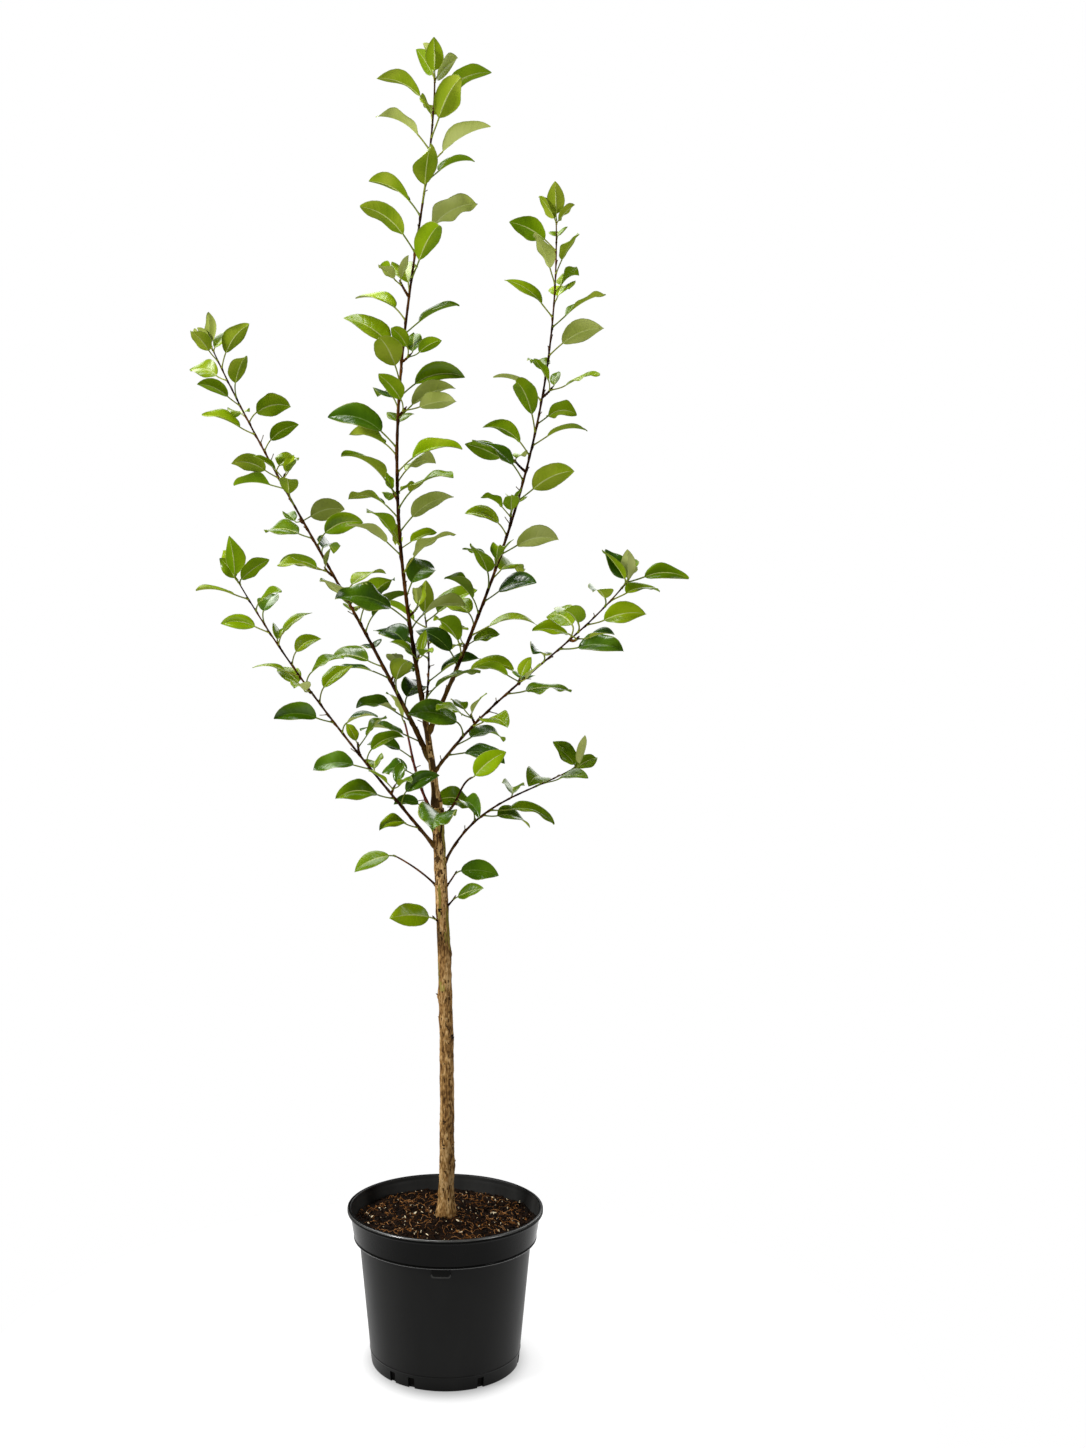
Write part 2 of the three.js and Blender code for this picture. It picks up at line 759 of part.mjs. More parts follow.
// The bare lower part of a limb, from its parent to where its foliage begins.
function bough(row, end) {
  return tube(limbs.get(row.name), 0, end, LIMB_SIDES, stepsFor(end)).subtract(socket(row));
}

// A limb's leafy part: the stem from the bough's tip, or from the parent, with its leaves fused on.
function foliage(row, start) {
  const limb = limbs.get(row.name);
  let body = tube(limb, start, limb.length, STEM_SIDES, stepsFor(limb.length - start));
  if (start === 0) body = body.subtract(socket(row));
  for (const pose of growLeaves(row)) body = body.add(leafSolid(pose));
  return body;
}

const tree = new THREE.Group();
tree.add(meshOf("pot", pot(), "pot"));
tree.add(meshOf("soil", soil(), "soil"));
tree.add(meshOf("trunk", trunkSolid(), "trunk"));
for (const row of LIMBS) {
  const boughEnd = row.bare > 0 ? row.bare - BOUGH_STOP : 0;
  if (boughEnd > 0) tree.add(meshOf(row.name + "_bough", bough(row, boughEnd), "bough"));
  const start = boughEnd > 0 ? boughEnd + CLEARANCE : 0;
  tree.add(meshOf(row.name + "_foliage", foliage(row, start), "foliage"));
}

export default tree;
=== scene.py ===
"""A young apple tree in a round nursery pot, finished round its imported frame.

The rules below work in millimetres, as the part's own source does, and meshes are made in metres. +Z is up,
+X to the right and +Y away from the viewer.
"""

import json
import math
from types import SimpleNamespace as Sizes

import bmesh
import bpy
import numpy as np
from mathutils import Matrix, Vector, noise

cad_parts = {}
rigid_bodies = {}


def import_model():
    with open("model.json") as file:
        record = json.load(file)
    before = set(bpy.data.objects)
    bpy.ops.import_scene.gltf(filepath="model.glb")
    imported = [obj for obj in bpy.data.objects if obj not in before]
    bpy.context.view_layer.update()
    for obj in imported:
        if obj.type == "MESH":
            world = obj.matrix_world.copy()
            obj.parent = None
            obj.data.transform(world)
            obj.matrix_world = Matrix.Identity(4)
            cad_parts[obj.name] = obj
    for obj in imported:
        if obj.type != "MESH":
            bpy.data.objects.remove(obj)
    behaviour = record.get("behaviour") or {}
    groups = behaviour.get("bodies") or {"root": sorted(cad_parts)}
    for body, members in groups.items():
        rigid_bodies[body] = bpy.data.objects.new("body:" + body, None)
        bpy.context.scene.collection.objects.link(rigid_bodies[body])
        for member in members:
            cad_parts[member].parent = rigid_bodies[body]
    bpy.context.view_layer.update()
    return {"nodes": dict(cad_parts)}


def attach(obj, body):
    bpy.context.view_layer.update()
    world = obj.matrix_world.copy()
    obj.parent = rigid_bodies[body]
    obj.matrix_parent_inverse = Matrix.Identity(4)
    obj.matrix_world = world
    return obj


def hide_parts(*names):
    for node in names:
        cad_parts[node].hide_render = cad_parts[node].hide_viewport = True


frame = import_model()

MM = 0.001
UP = np.array([0.0, 0.0, 1.0])

# The camera is level, straight in front of the pot, and its picture is shifted to the photograph's framing.
CAMERA = Sizes(distance=1355.7, height=615, lens=34.68, shift=0.0675)

POT = Sizes(
    height=147.8,
    foot_radius=71.5,
    taper=0.1,
    wall=1.8,
    floor=2.4,
    band_bottom=119,
    band_radius=88.6,
    band_top_radius=92.3,
    rim_bottom=143.1,
    rim_radius=95,
    rim_inner_radius=91.2,
    sides=180,
    sharp=35,  # the angle in degrees above which an edge is shaded as sharp
)
SLOT = Sizes(width=6.4, height=10, reach=7, angles=(-43, -26, 27), repeat=3)
LUG = Sizes(centre=-4, width=19, height=10, corner=2.6, proud=2.4, columns=25)
SOIL = Sizes(centre_height=139, edge_height=134.5, flat_radius=13, gap=0.3)

TRUNK = Sizes(
    curve=[(0.5, 0, 139), (4, 0, 268), (0, 0, 401), (-8, 0, 533)],
    foot=6.9,
    tip=5.2,
    flare=2.5,
    flare_length=28,
    knot_gap=41,
    knot_turn=144,  # degrees round the trunk from one knot to the next
    fork_swell=1.3,  # how far the trunk swells at the fork, and over what length
    fork_length=16,
    sunk=4,  # how far the foot goes into the compost
    sides=96,
    step=1.5,
    fuller=(0.5, 0.9),  # how far the bark stands out from the part's trunk, and how much more at the foot
    lenticels=110,
    bud=(2, 4),  # lengths of the dead buds on the scars
    green_from=0.55,  # the share of the trunk above which some of its bark is green
)

# The part's own rule for its limbs: see the notes in its source. foot is the height on the parent's line.
# tan is the length over which the trunk's bark runs up a limb. red is the level that the noise of a limb's
# bark has to pass where the bark is red.
LEAFLET = dict(radius=(1.2, 1.0, 0.8), bare=0, leaves="")
LIMBS = [
    dict(name="leader", parent="trunk", foot=533,
         curve=[(-23, -5, 710), (-99, -15, 867), (-9, -28, 1078), (-10, -40, 1226)],
         radius=(4.3, 2.1, 0.8), bare=100, leaves="4..0a.28.1.4983a4813a903b27.9.3a.05.93.a6.2495093",
         crest="a61", leaf=(54, 46), rise=(34, 46), droop=(56, 42), lean=14, seed=11, tan=95),
    dict(name="right_leader", parent="leader", foot=604,
         curve=[(68, 19, 793), (115, 54, 942), (115, 90, 1138)],
         radius=(2.5, 1.7, 0.7), bare=59, leaves="4a7.3a8471.3.a.04.9.a372.a.0.4..391275.90",
         crest="a28", leaf=(49, 43), rise=(30, 46), droop=(56, 42), lean=16, seed=23),
    dict(name="left_high", parent="leader", foot=576,
         curve=[(-86, 26, 731), (-177, 77, 866), (-247, 120, 1013)],
         radius=(2.8, 1.8, 0.7), bare=25, leaves="9.81438a0.34.72.9.03a..6.a81.3.92b85.a47",
         crest="91", leaf=(48, 37), rise=(26, 42), droop=(58, 40), lean=22, seed=37),
    dict(name="left_low", parent="trunk", foot=490,
         curve=[(-76, -20, 577), (-140, -63, 657), (-186, -110, 744)],
         radius=(2.1, 1.4, 0.6), bare=33, leaves="8.28.093..49.2.492039148",
         crest="92", leaf=(40, 33), rise=(20, 38), droop=(60, 42), lean=30, seed=41),
    dict(name="right_mid", parent="leader", foot=566,
         curve=[(41, -22, 644), (116, -70, 682), (161, -120, 741)],
         radius=(1.7, 1.3, 0.6), bare=25, leaves="4285...30..7.4b73.7203",
         crest="82", leaf=(48, 42), rise=(24, 38), droop=(60, 46), lean=28, seed=53),
    dict(name="right_low", parent="trunk", foot=470,
         curve=[(23, 22, 541), (88, 57, 544), (136, 90, 571)],
         radius=(1.7, 1.3, 0.6), bare=62, leaves="823.0..74.",
         crest="93", leaf=(46, 36), rise=(24, 34), droop=(70, 52), lean=32, seed=67),
    dict(name="back_shoot", parent="leader", foot=624,
         curve=[(-13, 39, 677), (-18, 80, 705), (-21, 99, 726)],
         radius=(1.4, 1.1, 0.7), bare=30, leaves=".4..9.1.a2",
         crest="630", leaf=(46, 50), rise=(34, 58), droop=(50, 30), lean=12, seed=71),
    dict(name="left_spur", parent="trunk", foot=521,
         curve=[(-31, 10, 555), (-33, 32, 591), (-41, 50, 617)],
         radius=(2.0, 1.5, 1.0), bare=0, leaves=".8..a.9",
         crest="8b", leaf=(26, 42), rise=(24, 30), droop=(60, 60), lean=36, seed=83, red=-0.15),
    dict(name="right_spur", parent="trunk", foot=523,
         curve=[(15, -15, 534), (11, -37, 557), (24, -60, 565)],
         radius=(1.6, 1.2, 0.9), bare=0, leaves="...5",
         crest="341", leaf=(36, 46), rise=(20, 30), droop=(64, 60), lean=36, seed=89),
    dict(name="low_twig", parent="trunk", foot=452,
         curve=[(-18, 6, 468), (-36, 20, 478), (-50, 30, 484)],
         radius=(1.5, 1.1, 0.8), bare=0, leaves="",
         crest="9", leaf=(56, 56), rise=(-50, -50), droop=(80, 80), lean=34, seed=97),
    dict(LEAFLET, name="fork_leaf", parent="trunk", foot=498,
         curve=[(-4, -9, 510), (-3, -15, 524)],
         crest="6", leaf=(96, 96), rise=(-56, -56), droop=(70, 70), lean=10, seed=101),
    dict(LEAFLET, name="trunk_leaf_left", parent="trunk", foot=418,
         curve=[(-7, -4, 423), (-11, -7, 428)],
         crest="8", leaf=(60, 60), rise=(-40, -40), droop=(52, 52), lean=40, seed=103),
    dict(LEAFLET, name="trunk_leaf_right", parent="trunk", foot=434,
         curve=[(5, -2, 440), (9, -4, 447)],
         crest="4", leaf=(44, 44), rise=(-34, -34), droop=(44, 44), lean=36, seed=107),
    dict(LEAFLET, name="trunk_leaf_upper", parent="trunk", foot=451,
         curve=[(4, 1, 460), (10, 2, 470)],
         crest="3", leaf=(54, 54), rise=(-50, -50), droop=(52, 52), lean=30, seed=109),
]
NODE_GAP = 12
SWELL = 0.26  # the share of a limb over which its foot is thicker

LEAF = Sizes(
    width=0.56,
    petiole=0.3,
    petiole_base=4,
    petiole_angle=42,
    knee=0.62,
    fold=24,
    stem_lift=0.45,
    steepest=84,
    droop_power=1.2,
    crest_rise=24,
    crest_angle=0.5,
    crest_droop=0.6,
    crest_size=0.76,
    crest_petiole=0.4,
    lean=50,
    lean_power=2.2,
    all_upper=620,
    none_upper=1200,
    size_spread=(0.84, 1.12),
    rise_spread=(-9, 9),
    droop_spread=(0.75, 1.25),
    fold_spread=(0.55, 1.4),
    roll_spread=(-14, 14),
    hour_spread=(-0.4, 0.4),
    place_spread=(-3, 3),
    crest_spread=(-1, -4),
    spine_pieces=48,
)
ROOM = Sizes(
    leaf=7,
    own_leaf=4.5,
    limb=5,
    own_limb=2,
    turns=(0, 0.6, -0.6, 1.2, -1.2, 1.8, -1.8, 2.4, -2.4),
    probe_shares=(0.14, 0.3, 0.46, 0.62, 0.78, 0.94),
    probe_sides=(-0.9, 0, 0.9),
    bark_step=7,
    middle=10,  # the probe at the middle of a blade
    apart=140,  # two leaves whose middles are this far apart can't touch
)

# A blade's finer surface: rows run out from the midrib along its side veins, and columns along the blade.
BLADE = Sizes(
    vein_pairs=7,
    first_vein=0.07,
    last_vein=0.84,
    vein_half=0.006,  # half a vein's width, as a share of the length
    sweep=0.15,  # how far a side vein runs towards the tip before it meets the margin
    columns=(0, 0.05, 0.18, 0.36, 0.55, 0.75, 0.94, 1),
    tooth=0.022,
    fuller=1.1,  # wider than the part's blade, whose straight edges cut its corners
    thickness=0.34,
    rim_thickness=0.14,
    rib_depth=0.62,
    rib_groove=0.16,
    vein_depth=0.08,
    quilt=0.08,
    full_relief=52,  # a shorter leaf's veins and quilting are shallower
    deeper=(0.8, 1.9),  # how much deeper the fold is than the part's own
    crest_deeper=(0.7, 1.1),
    gull=(0.1, 0.7),  # how much of the fold is lost at the margin
    crease=1.1,
    wave=(0.012, 0.06),  # of the length
    wave_count=(0.8, 2.2),
    twist=34,
    crest_twist=8,
    sickle=0.05,
    tip_fuller=0.36,
    narrowest=0.15,
    wave_from=0.2,  # the wave is full beyond this share of the length
    rim=0.15,  # the share of the half width over which a vein fades out
)
PETIOLE = Sizes(
    radius=(0.42, 0.74),  # of a small leaf's and of one of full size
    full_size=50,
    base=0.9,  # how much thicker it is at its base, as a share, and over what share of its length
    base_length=0.09,
    tip=0.12,
    sunk=0.55,
    rings=11,
    sides=7,
)

# What the numbers of each kind of piece's looks stand for, in the order of all_finishes.
OLD, BROWN, GREENER, SCALE, STUB, TAN, RED, DARK = range(8)  # a stem
BARK, SCAR, LENTICEL, CRACK, GREEN = range(5)  # the trunk
BODY, BAND_PAINTED_SHADE, PAINTED_EDGE_HIGHLIGHT, PALE_PAINTED_LIGHT = range(4)  # the pot: the band's darker black is painted shade, the paler edges a painted highlight, and the paler inside painted light
SOOTY, EARTHY, RUSTY, FIBRE, WHITE = range(5)  # the compost's crumbs


def mix(low, high, share):
    return low + (high - low) * share


def unit(vector):
    return vector / np.linalg.norm(vector)


def compass(turn):
    """The level direction at an angle that goes clockwise from +Y, seen from above."""
    return np.array([math.sin(turn), math.cos(turn), 0])


def off(stem, out):
    """The direction nearest to out that stands square off a stem."""
    return unit(out - stem * stem.dot(out))


def turns(sides):
    return np.arange(sides) / sides * 2 * np.pi


def circle(turn):
    """Level points round the axis, at a reach of 1."""
    return np.stack([np.cos(turn), np.sin(turn), turn * 0], axis=-1)


def hump(x):
    """A smooth rise to 1 at 0."""
    return np.exp(-(x**2))


def stream(seed):
    """A seeded stream of even random numbers from 0 to 1."""
    span = 2**32
    state = seed
    while True:
        state = (state * 1664525 + 1013904223) % span
        yield state / span


# Limbs


class Limb:
    """A curve of any degree through its control points, measured by length."""

    stations = 240

    def __init__(self, points, radius_at):
        self.control = np.array(points, float)
        self.radius_at = radius_at
        self.shares = np.linspace(0, 1, self.stations + 1)
        steps = np.linalg.norm(np.diff(self.bend(self.shares), axis=0), axis=1)
        self.lengths = np.concatenate([[0], np.cumsum(steps)])
        self.length = self.lengths[-1]

    def bend(self, share):
        share = np.asarray(share, float)[..., None]
        row = list(self.control)
        while len(row) > 1:
            row = [a + (b - a) * share for a, b in zip(row, row[1:])]
        return row[0]

    def at(self, length):
        return self.bend(np.interp(length, self.lengths, self.shares))

    def at_height(self, height):
        length = 0
        while length < self.length and self.at(length)[2] < height:
            length += 0.5
        return self.at(length)

    def along(self, length):
        middle = np.clip(length, 1, self.length - 1)
        ahead = self.at(middle + 1) - self.at(middle - 1)
        return ahead / np.linalg.norm(ahead, axis=-1, keepdims=True)

    def radius(self, length):
        return self.radius_at(length / self.length, length)


def trunk_radius(share, length):
    flare = np.maximum(0, 1 - length / TRUNK.flare_length)
    return mix(TRUNK.foot, TRUNK.tip, share) + TRUNK.flare * flare * flare


def limb_radius(foot, slim, tip):
    def radius(share, _length):
        return mix(slim, tip, share) + (foot - slim) * np.maximum(0, 1 - share / SWELL) ** 1.5

    return radius


def all_limbs():
    made = {"trunk": Limb(TRUNK.curve, trunk_radius)}
    for row in LIMBS:
        start = made[row["parent"]].at_height(row["foot"])
        made[row["name"]] = Limb([start, *row["curve"]], limb_radius(*row["radius"]))
    return made


limbs = all_limbs()


# Leaves: where they grow and how they hang


class Pose:
    """One leaf's shape in space: where it leaves the stem, its petiole and the line of its midrib."""

    def __init__(self, row, stem_length, hour, share, crest, luck):
        limb = limbs[row["name"]]
        out = compass(math.radians(hour * 30))
        stem = limb.along(stem_length)
        across = out - stem * stem.dot(out)
        if np.linalg.norm(across) < 0.2:  # the stem runs nearly the leaf's way
            across = UP - stem * stem[2]
        across = unit(across)
        angle = math.radians(LEAF.petiole_angle * (LEAF.crest_angle if crest else 1))
        leave = stem * math.cos(angle) + across * math.sin(angle)
        size = mix(*row["leaf"], share) * (LEAF.crest_size if crest else 1)
        self.size = size * mix(*LEAF.size_spread, luck[0])
        lift = math.degrees(math.asin(leave[2]))
        rise = mix(mix(*row["rise"], share), lift, LEAF.stem_lift)
        rise += (LEAF.crest_rise if crest else 0) + mix(*LEAF.rise_spread, luck[1])
        self.rise = min(rise, LEAF.steepest)
        droop = mix(*row["droop"], share) * (LEAF.crest_droop if crest else 1)
        self.droop = droop * mix(*LEAF.droop_spread, luck[2])
        self.out = out
        self.side = np.cross(out, UP)
        lean = row["lean"] + LEAF.lean * luck[3] ** LEAF.lean_power
        self.root = limb.at(stem_length)
        upper = luck[5] < (LEAF.none_upper - self.root[2]) / (LEAF.none_upper - LEAF.all_upper)
        facing = 1 if upper else -1
        self.roll = math.radians(lean * -self.side[1] * facing + mix(*LEAF.roll_spread, luck[7]))
        self.fold = math.radians(LEAF.fold * mix(*LEAF.fold_spread, luck[4]))
        reach = LEAF.petiole * self.size + LEAF.petiole_base
        reach *= LEAF.crest_petiole if crest else 1
        self.leave = leave
        self.across = across
        self.stem_length = stem_length
        self.stem_radius = limb.radius(stem_length)
        self.knee = self.root + leave * (reach * LEAF.knee + self.stem_radius)
        self.base = self.knee + self.heading(0.0) * reach * (1 - LEAF.knee)
        self.share = share
        self.crest = crest
        pieces = LEAF.spine_pieces
        middles = (np.arange(pieces) + 0.5) / pieces
        steps = self.heading(middles) * self.size / pieces
        self.spine_shares = np.linspace(0, 1, pieces + 1)
        self.spine_points = self.base + np.concatenate([np.zeros((1, 3)), np.cumsum(steps, axis=0)])

    def heading(self, s):
        s = np.asarray(s, float)
        slope = np.radians(self.rise - self.droop * s ** LEAF.droop_power)[..., None]
        return self.out * np.cos(slope) + UP * np.sin(slope)

    def spine(self, s):
        axes = self.spine_points.T
        return np.stack([np.interp(s, self.spine_shares, axis) for axis in axes], axis=-1)

    def frame(self, s, twist=0.0):
        """The blade's own right and up at shares of its length, turned on by twist towards the tip."""
        ahead = self.heading(s)
        roll = (self.roll + np.asarray(twist * s))[..., None]
        flat = self.side * np.cos(roll) + np.cross(ahead, self.side) * np.sin(roll)
        return flat, np.cross(flat, ahead)

    def point(self, s, across):
        flat, normal = self.frame(s)
        flat, normal = flat * across * math.cos(self.fold), normal * abs(across) * math.sin(self.fold)
        return self.spine(s) + flat + normal


def half_width(s, size):
    """Half the width of an egg-shaped blade at shares of its length."""
    oval = np.maximum(0, np.sin(np.pi * s**0.8)) ** 0.8
    return LEAF.width / 2 * size * oval * (1 - 0.25 * s**4)


def probes(pose):
    """Points on a leaf that have to be clear of the other leaves and the limbs."""
    points = [pose.knee, pose.base]
    for s in ROOM.probe_shares:
        for across in ROOM.probe_sides:
            points.append(pose.point(s, across * half_width(s, pose.size)))
    return np.array(points)


def bark_points():
    """Points along the middle of all the limbs: the limb's name, the point and the radius."""
    found = []
    for name, limb in limbs.items():
        for length in np.arange(0, limb.length, ROOM.bark_step):
            found.append((name, limb.at(length), limb.radius(length)))
    names = np.array([n for n, _, _ in found])
    return names, np.array([p for _, p, _ in found]), np.array([r for _, _, r in found])


def distances(a, b):
    return np.linalg.norm(a[:, None, :] - b[None, :, :], axis=2)


def has_room(name, points, bark, placed):
    """Whether a leaf of the named limb is clear of all the limbs and of the leaves that are placed."""
    names, centres, radii = bark
    own = names == name
    middle = ROOM.middle
    if (distances(points, centres[~own]) < radii[~own] + ROOM.limb).any():
        return False
    if (distances(points[2:], centres[own]) < radii[own] + ROOM.own_limb).any():
        return False
    for other, taken in placed:
        room = ROOM.own_leaf if other == name else ROOM.leaf
        near = np.linalg.norm(taken[middle] - points[middle]) < ROOM.apart
        if near and (distances(points, taken) < room).any():
            return False
    return True


def grow_leaves():
    """Every leaf by its limb's name, by the part's rule, and then the spurs' leaves.

    Each leaf is turned until it has room.
    """
    bark = bark_points()
    placed = []
    grown = {}
    for row in LIMBS:
        draw = stream(row["seed"])
        end = limbs[row["name"]].length
        spots = [(int(sign, 12), row["bare"] + i * NODE_GAP, False)
                 for i, sign in enumerate(row["leaves"]) if sign != "."]
        spots += [(int(sign, 12), end, True) for sign in row["crest"]]
        grown[row["name"]] = []
        for sign, wanted, crest in spots:
            luck = [next(draw) for _ in range(8)]
            jitter = mix(*(LEAF.crest_spread if crest else LEAF.place_spread), luck[5])
            at = min(max(wanted + jitter, 4), end - 1)
            share = max(0, (at - row["bare"]) / (end - row["bare"]))
            hour = sign + mix(*LEAF.hour_spread, luck[6])
            for turn in ROOM.turns:
                pose = Pose(row, at, hour + turn, share, crest, luck)
                points = probes(pose)
                if has_room(row["name"], points, bark, placed):
                    placed.append((row["name"], points))
                    grown[row["name"]].append(pose)
                    break
    return grown, grow_spurs(bark, placed)


# Mesh building


class Shape:
    """Points, faces and looks that are gathered into one mesh."""

    def __init__(self):
        self.points = []
        self.faces = []
        self.looks = []
        self.count = 0

    def add(self, points, faces, look):
        points = np.asarray(points, float).reshape(-1, 3)
        faces = np.asarray(faces, int)
        self.points.append(points)
        self.faces.append(faces + self.count)
        self.looks.append(np.broadcast_to(look, len(faces)))
        self.count += len(points)

    def close(self, first, sides, tip, look, start):
        """A fan from a tip to the ring of points from first on, at the start or the end of some rings."""
        around = first + np.arange(sides)
        after = first + (np.arange(sides) + 1) % sides
        fan = (after, around) if start else (around, after)
        self.points.append(np.array([tip], float))
        self.faces.append(np.stack([np.full(sides, self.count), *fan], axis=-1))
        self.looks.append(np.full(sides, look))
        self.count += 1

    def piece(self, name, materials, sharp=40):
        mesh = bpy.data.meshes.new(name)
        points = np.concatenate(self.points) * MM
        corners = np.concatenate([f.ravel() for f in self.faces])
        sizes = np.concatenate([np.full(len(f), f.shape[1]) for f in self.faces])
        mesh.vertices.add(len(points))
        mesh.vertices.foreach_set("co", points.astype(np.float32).ravel())
        mesh.loops.add(len(corners))
        mesh.loops.foreach_set("vertex_index", corners.astype(np.int32))
        mesh.polygons.add(len(sizes))
        mesh.polygons.foreach_set("loop_start", (np.cumsum(sizes) - sizes).astype(np.int32))
        for mat in materials:
            mesh.materials.append(mat)
        mesh.polygons.foreach_set("material_index", np.concatenate(self.looks).astype(np.int32))
        mesh.update(calc_edges=True)
        mesh.shade_smooth()
        mesh.set_sharp_from_angle(angle=math.radians(sharp))
        return add_object(name, mesh)


def add_object(name, data):
    made = bpy.data.objects.new(name, data)
    bpy.context.scene.collection.objects.link(made)
    return made


def hand_in(made, slot, *nodes):
    """Hides the nodes that a piece stands in for and sets it on the body that it rides on, the root. slot
    is not used.
    """
    for node in nodes:
        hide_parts(node)
    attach(made, "root")


def grid_faces(rows, columns, closed=False):
    """Quads of a grid of points in rows, whose last column meets its first where it is closed."""
    i, j = np.meshgrid(np.arange(rows - 1), np.arange(columns if closed else columns - 1), indexing="ij")
    after = (j + 1) % columns
    quads = [i * columns + j, i * columns + after, (i + 1) * columns + after, (i + 1) * columns + j]
    return np.stack(quads, axis=-1).reshape(-1, 4)


def ring_frames(path):
    """Tangent, side and front at each point of a path."""
    ahead = np.gradient(path, axis=0)
    ahead /= np.linalg.norm(ahead, axis=1, keepdims=True)
    steady = np.eye(3)[np.argmin(np.abs(ahead.mean(axis=0)))]
    side = np.cross(ahead, steady)
    side /= np.linalg.norm(side, axis=1, keepdims=True)
    return ahead, side, np.cross(ahead, side)


def add_tube(shape, path, radii, sides, look, relief=None):
    """A closed round tube along a path.

    relief is what each ring's points stand proud of the radius. look is one material, or one for each face.
    """
    path = np.asarray(path, float)
    ahead, side, front = ring_frames(path)
    turn = turns(sides)
    reach = np.broadcast_to(np.asarray(radii, float)[:, None], (len(path), sides))
    if relief is not None:
        reach = reach + relief
    points = (path[:, None, :] + side[:, None, :] * (np.cos(turn) * reach)[..., None]
              + front[:, None, :] * (np.sin(turn) * reach)[..., None])
    looks = np.ravel(look)
    first = shape.count
    shape.add(points, grid_faces(len(path), sides, closed=True), looks)
    shape.close(first, sides, path[0] - ahead[0] * radii[0] * 0.3, looks[0], start=True)
    last = first + (len(path) - 1) * sides
    shape.close(last, sides, path[-1] + ahead[-1] * radii[-1] * 0.6, looks[-1], start=False)


def bezier(a, b, c, share):
    share = np.asarray(share)[:, None]
    return a * (1 - share) ** 2 + 2 * b * share * (1 - share) + c * share**2


def fractal(points, scale, octaves=3):
    """Layered noise from about -1 to 1 at points in millimetres."""
    found = []
    for x, y, z in np.asarray(points).reshape(-1, 3) / scale:
        found.append(noise.fractal(Vector((x, y, z)), 1.0, 2.0, octaves))
    return np.array(found).reshape(np.shape(points)[:-1])


# The leaves' surface


def blade_rows():
    """Rows of a blade: the midrib's share where each starts, then how far it is vein, quilt and notch."""
    gap = (BLADE.last_vein - BLADE.first_vein) / (BLADE.vein_pairs - 1)
    half = BLADE.vein_half
    rows = [(0.002, 0, 0, 0), (0.03, 0, 0, 0)]
    for i in range(BLADE.vein_pairs):
        vein = BLADE.first_vein + i * gap
        rows += [(vein - half, 0, 0, 0.5), (vein, 1, 0, 0), (vein + half, 0, 0, 0.2)]
        rows += [(vein + gap * 0.38, 0, 1, 1), (vein + gap * 0.68, 0, 1, 0)]
    rows += [(0.962, 0, 0, 0), (1, 0, 0, 0)]
    return np.array(rows).T


def add_blade(shape, pose, looks, rng):
    """A blade as a thin closed sheet. looks are the materials of its upper and lower face, ribs and rim."""
    upper, lower, upper_rib, lower_rib, rim_look = looks
    starts, vein, quilt, notch = (row[:, None] for row in blade_rows())
    halves = np.array(BLADE.columns)
    across = np.concatenate([-halves[:0:-1], halves])[None, :]
    q = np.abs(across)
    meets = starts + BLADE.sweep * np.sin(np.pi * starts)
    s = starts + (meets - starts) * q**1.2
    width = half_width(meets, pose.size) * (BLADE.fuller + BLADE.tip_fuller * meets**4)
    width = np.maximum(width, BLADE.narrowest)
    x = across * width * (1 - BLADE.tooth * notch * (q == 1))

    fold = pose.fold * rng.uniform(*(BLADE.crest_deeper if pose.crest else BLADE.deeper))
    rise = math.sin(fold) * (np.sqrt(x * x + BLADE.crease**2) - BLADE.crease)
    rise = rise * (1 - rng.uniform(*BLADE.gull) * q * q)
    phase = rng.uniform(0, 1, 2)
    count = rng.uniform(*BLADE.wave_count, 2)
    swing = pose.size * mix(*BLADE.wave, rng.uniform() ** 1.5)
    side_of = (across > 0).astype(int)
    wave = swing * q * q * np.sin(2 * np.pi * (count[side_of] * s + phase[side_of]))
    wave = wave * np.minimum(1, s / BLADE.wave_from)
    window = 4 * q * (1 - q)
    small = min(1, pose.size / BLADE.full_relief) ** 2
    lift = rise + wave + BLADE.quilt * small * quilt * window
    bend = pose.size * BLADE.sickle * rng.uniform(-1, 1) * s * s
    twist = math.radians(BLADE.crest_twist if pose.crest else BLADE.twist) * rng.uniform(-1, 1)
    flat, normal = pose.frame(s, twist)
    middle = pose.spine(s) + flat * (x * math.cos(fold))[..., None] + normal * lift[..., None]
    middle = middle + pose.side * bend[..., None]

    thick = mix(BLADE.thickness, BLADE.rim_thickness, q * q)
    fade = np.clip((1 - q) / BLADE.rim, 0, 1)
    rib = np.where(q == 0, 1, np.where(q < 0.1, 0.3, 0)) * (1 - s) ** 0.6
    over = thick / 2 - BLADE.vein_depth * small * 0.5 * vein * fade - BLADE.rib_groove * (q == 0)
    under = thick / 2 + BLADE.vein_depth * small * vein * fade + BLADE.rib_depth * rib
    rows, columns = s.shape
    top = middle + normal * over[..., None]
    bottom = middle - normal * under[..., None]

    faces = grid_faces(rows, columns)
    half = len(BLADE.columns) - 1
    column = np.tile(np.arange(columns - 1), rows - 1)
    is_rib = (column == half - 1) | (column == half)
    is_rim = (column == 0) | (column == columns - 2)
    lower_faces = faces[:, ::-1] + rows * columns
    rim = np.concatenate([
        np.arange(columns),
        np.arange(1, rows) * columns + columns - 1,
        (rows - 1) * columns + np.arange(columns - 2, -1, -1),
        np.arange(rows - 2, 0, -1) * columns,
    ])
    after = np.roll(rim, -1)
    edge = np.stack([after, rim, rim + rows * columns, after + rows * columns], axis=-1)
    shape.add(
        np.concatenate([top.reshape(-1, 3), bottom.reshape(-1, 3)]),
        np.concatenate([faces, lower_faces, edge]),
        np.concatenate([
            np.where(is_rib, upper_rib, np.where(is_rim, rim_look, upper)),
            np.where(is_rib, lower_rib, np.where(is_rim, rim_look, lower)),
            np.full(len(edge), rim_look),
        ]),
    )


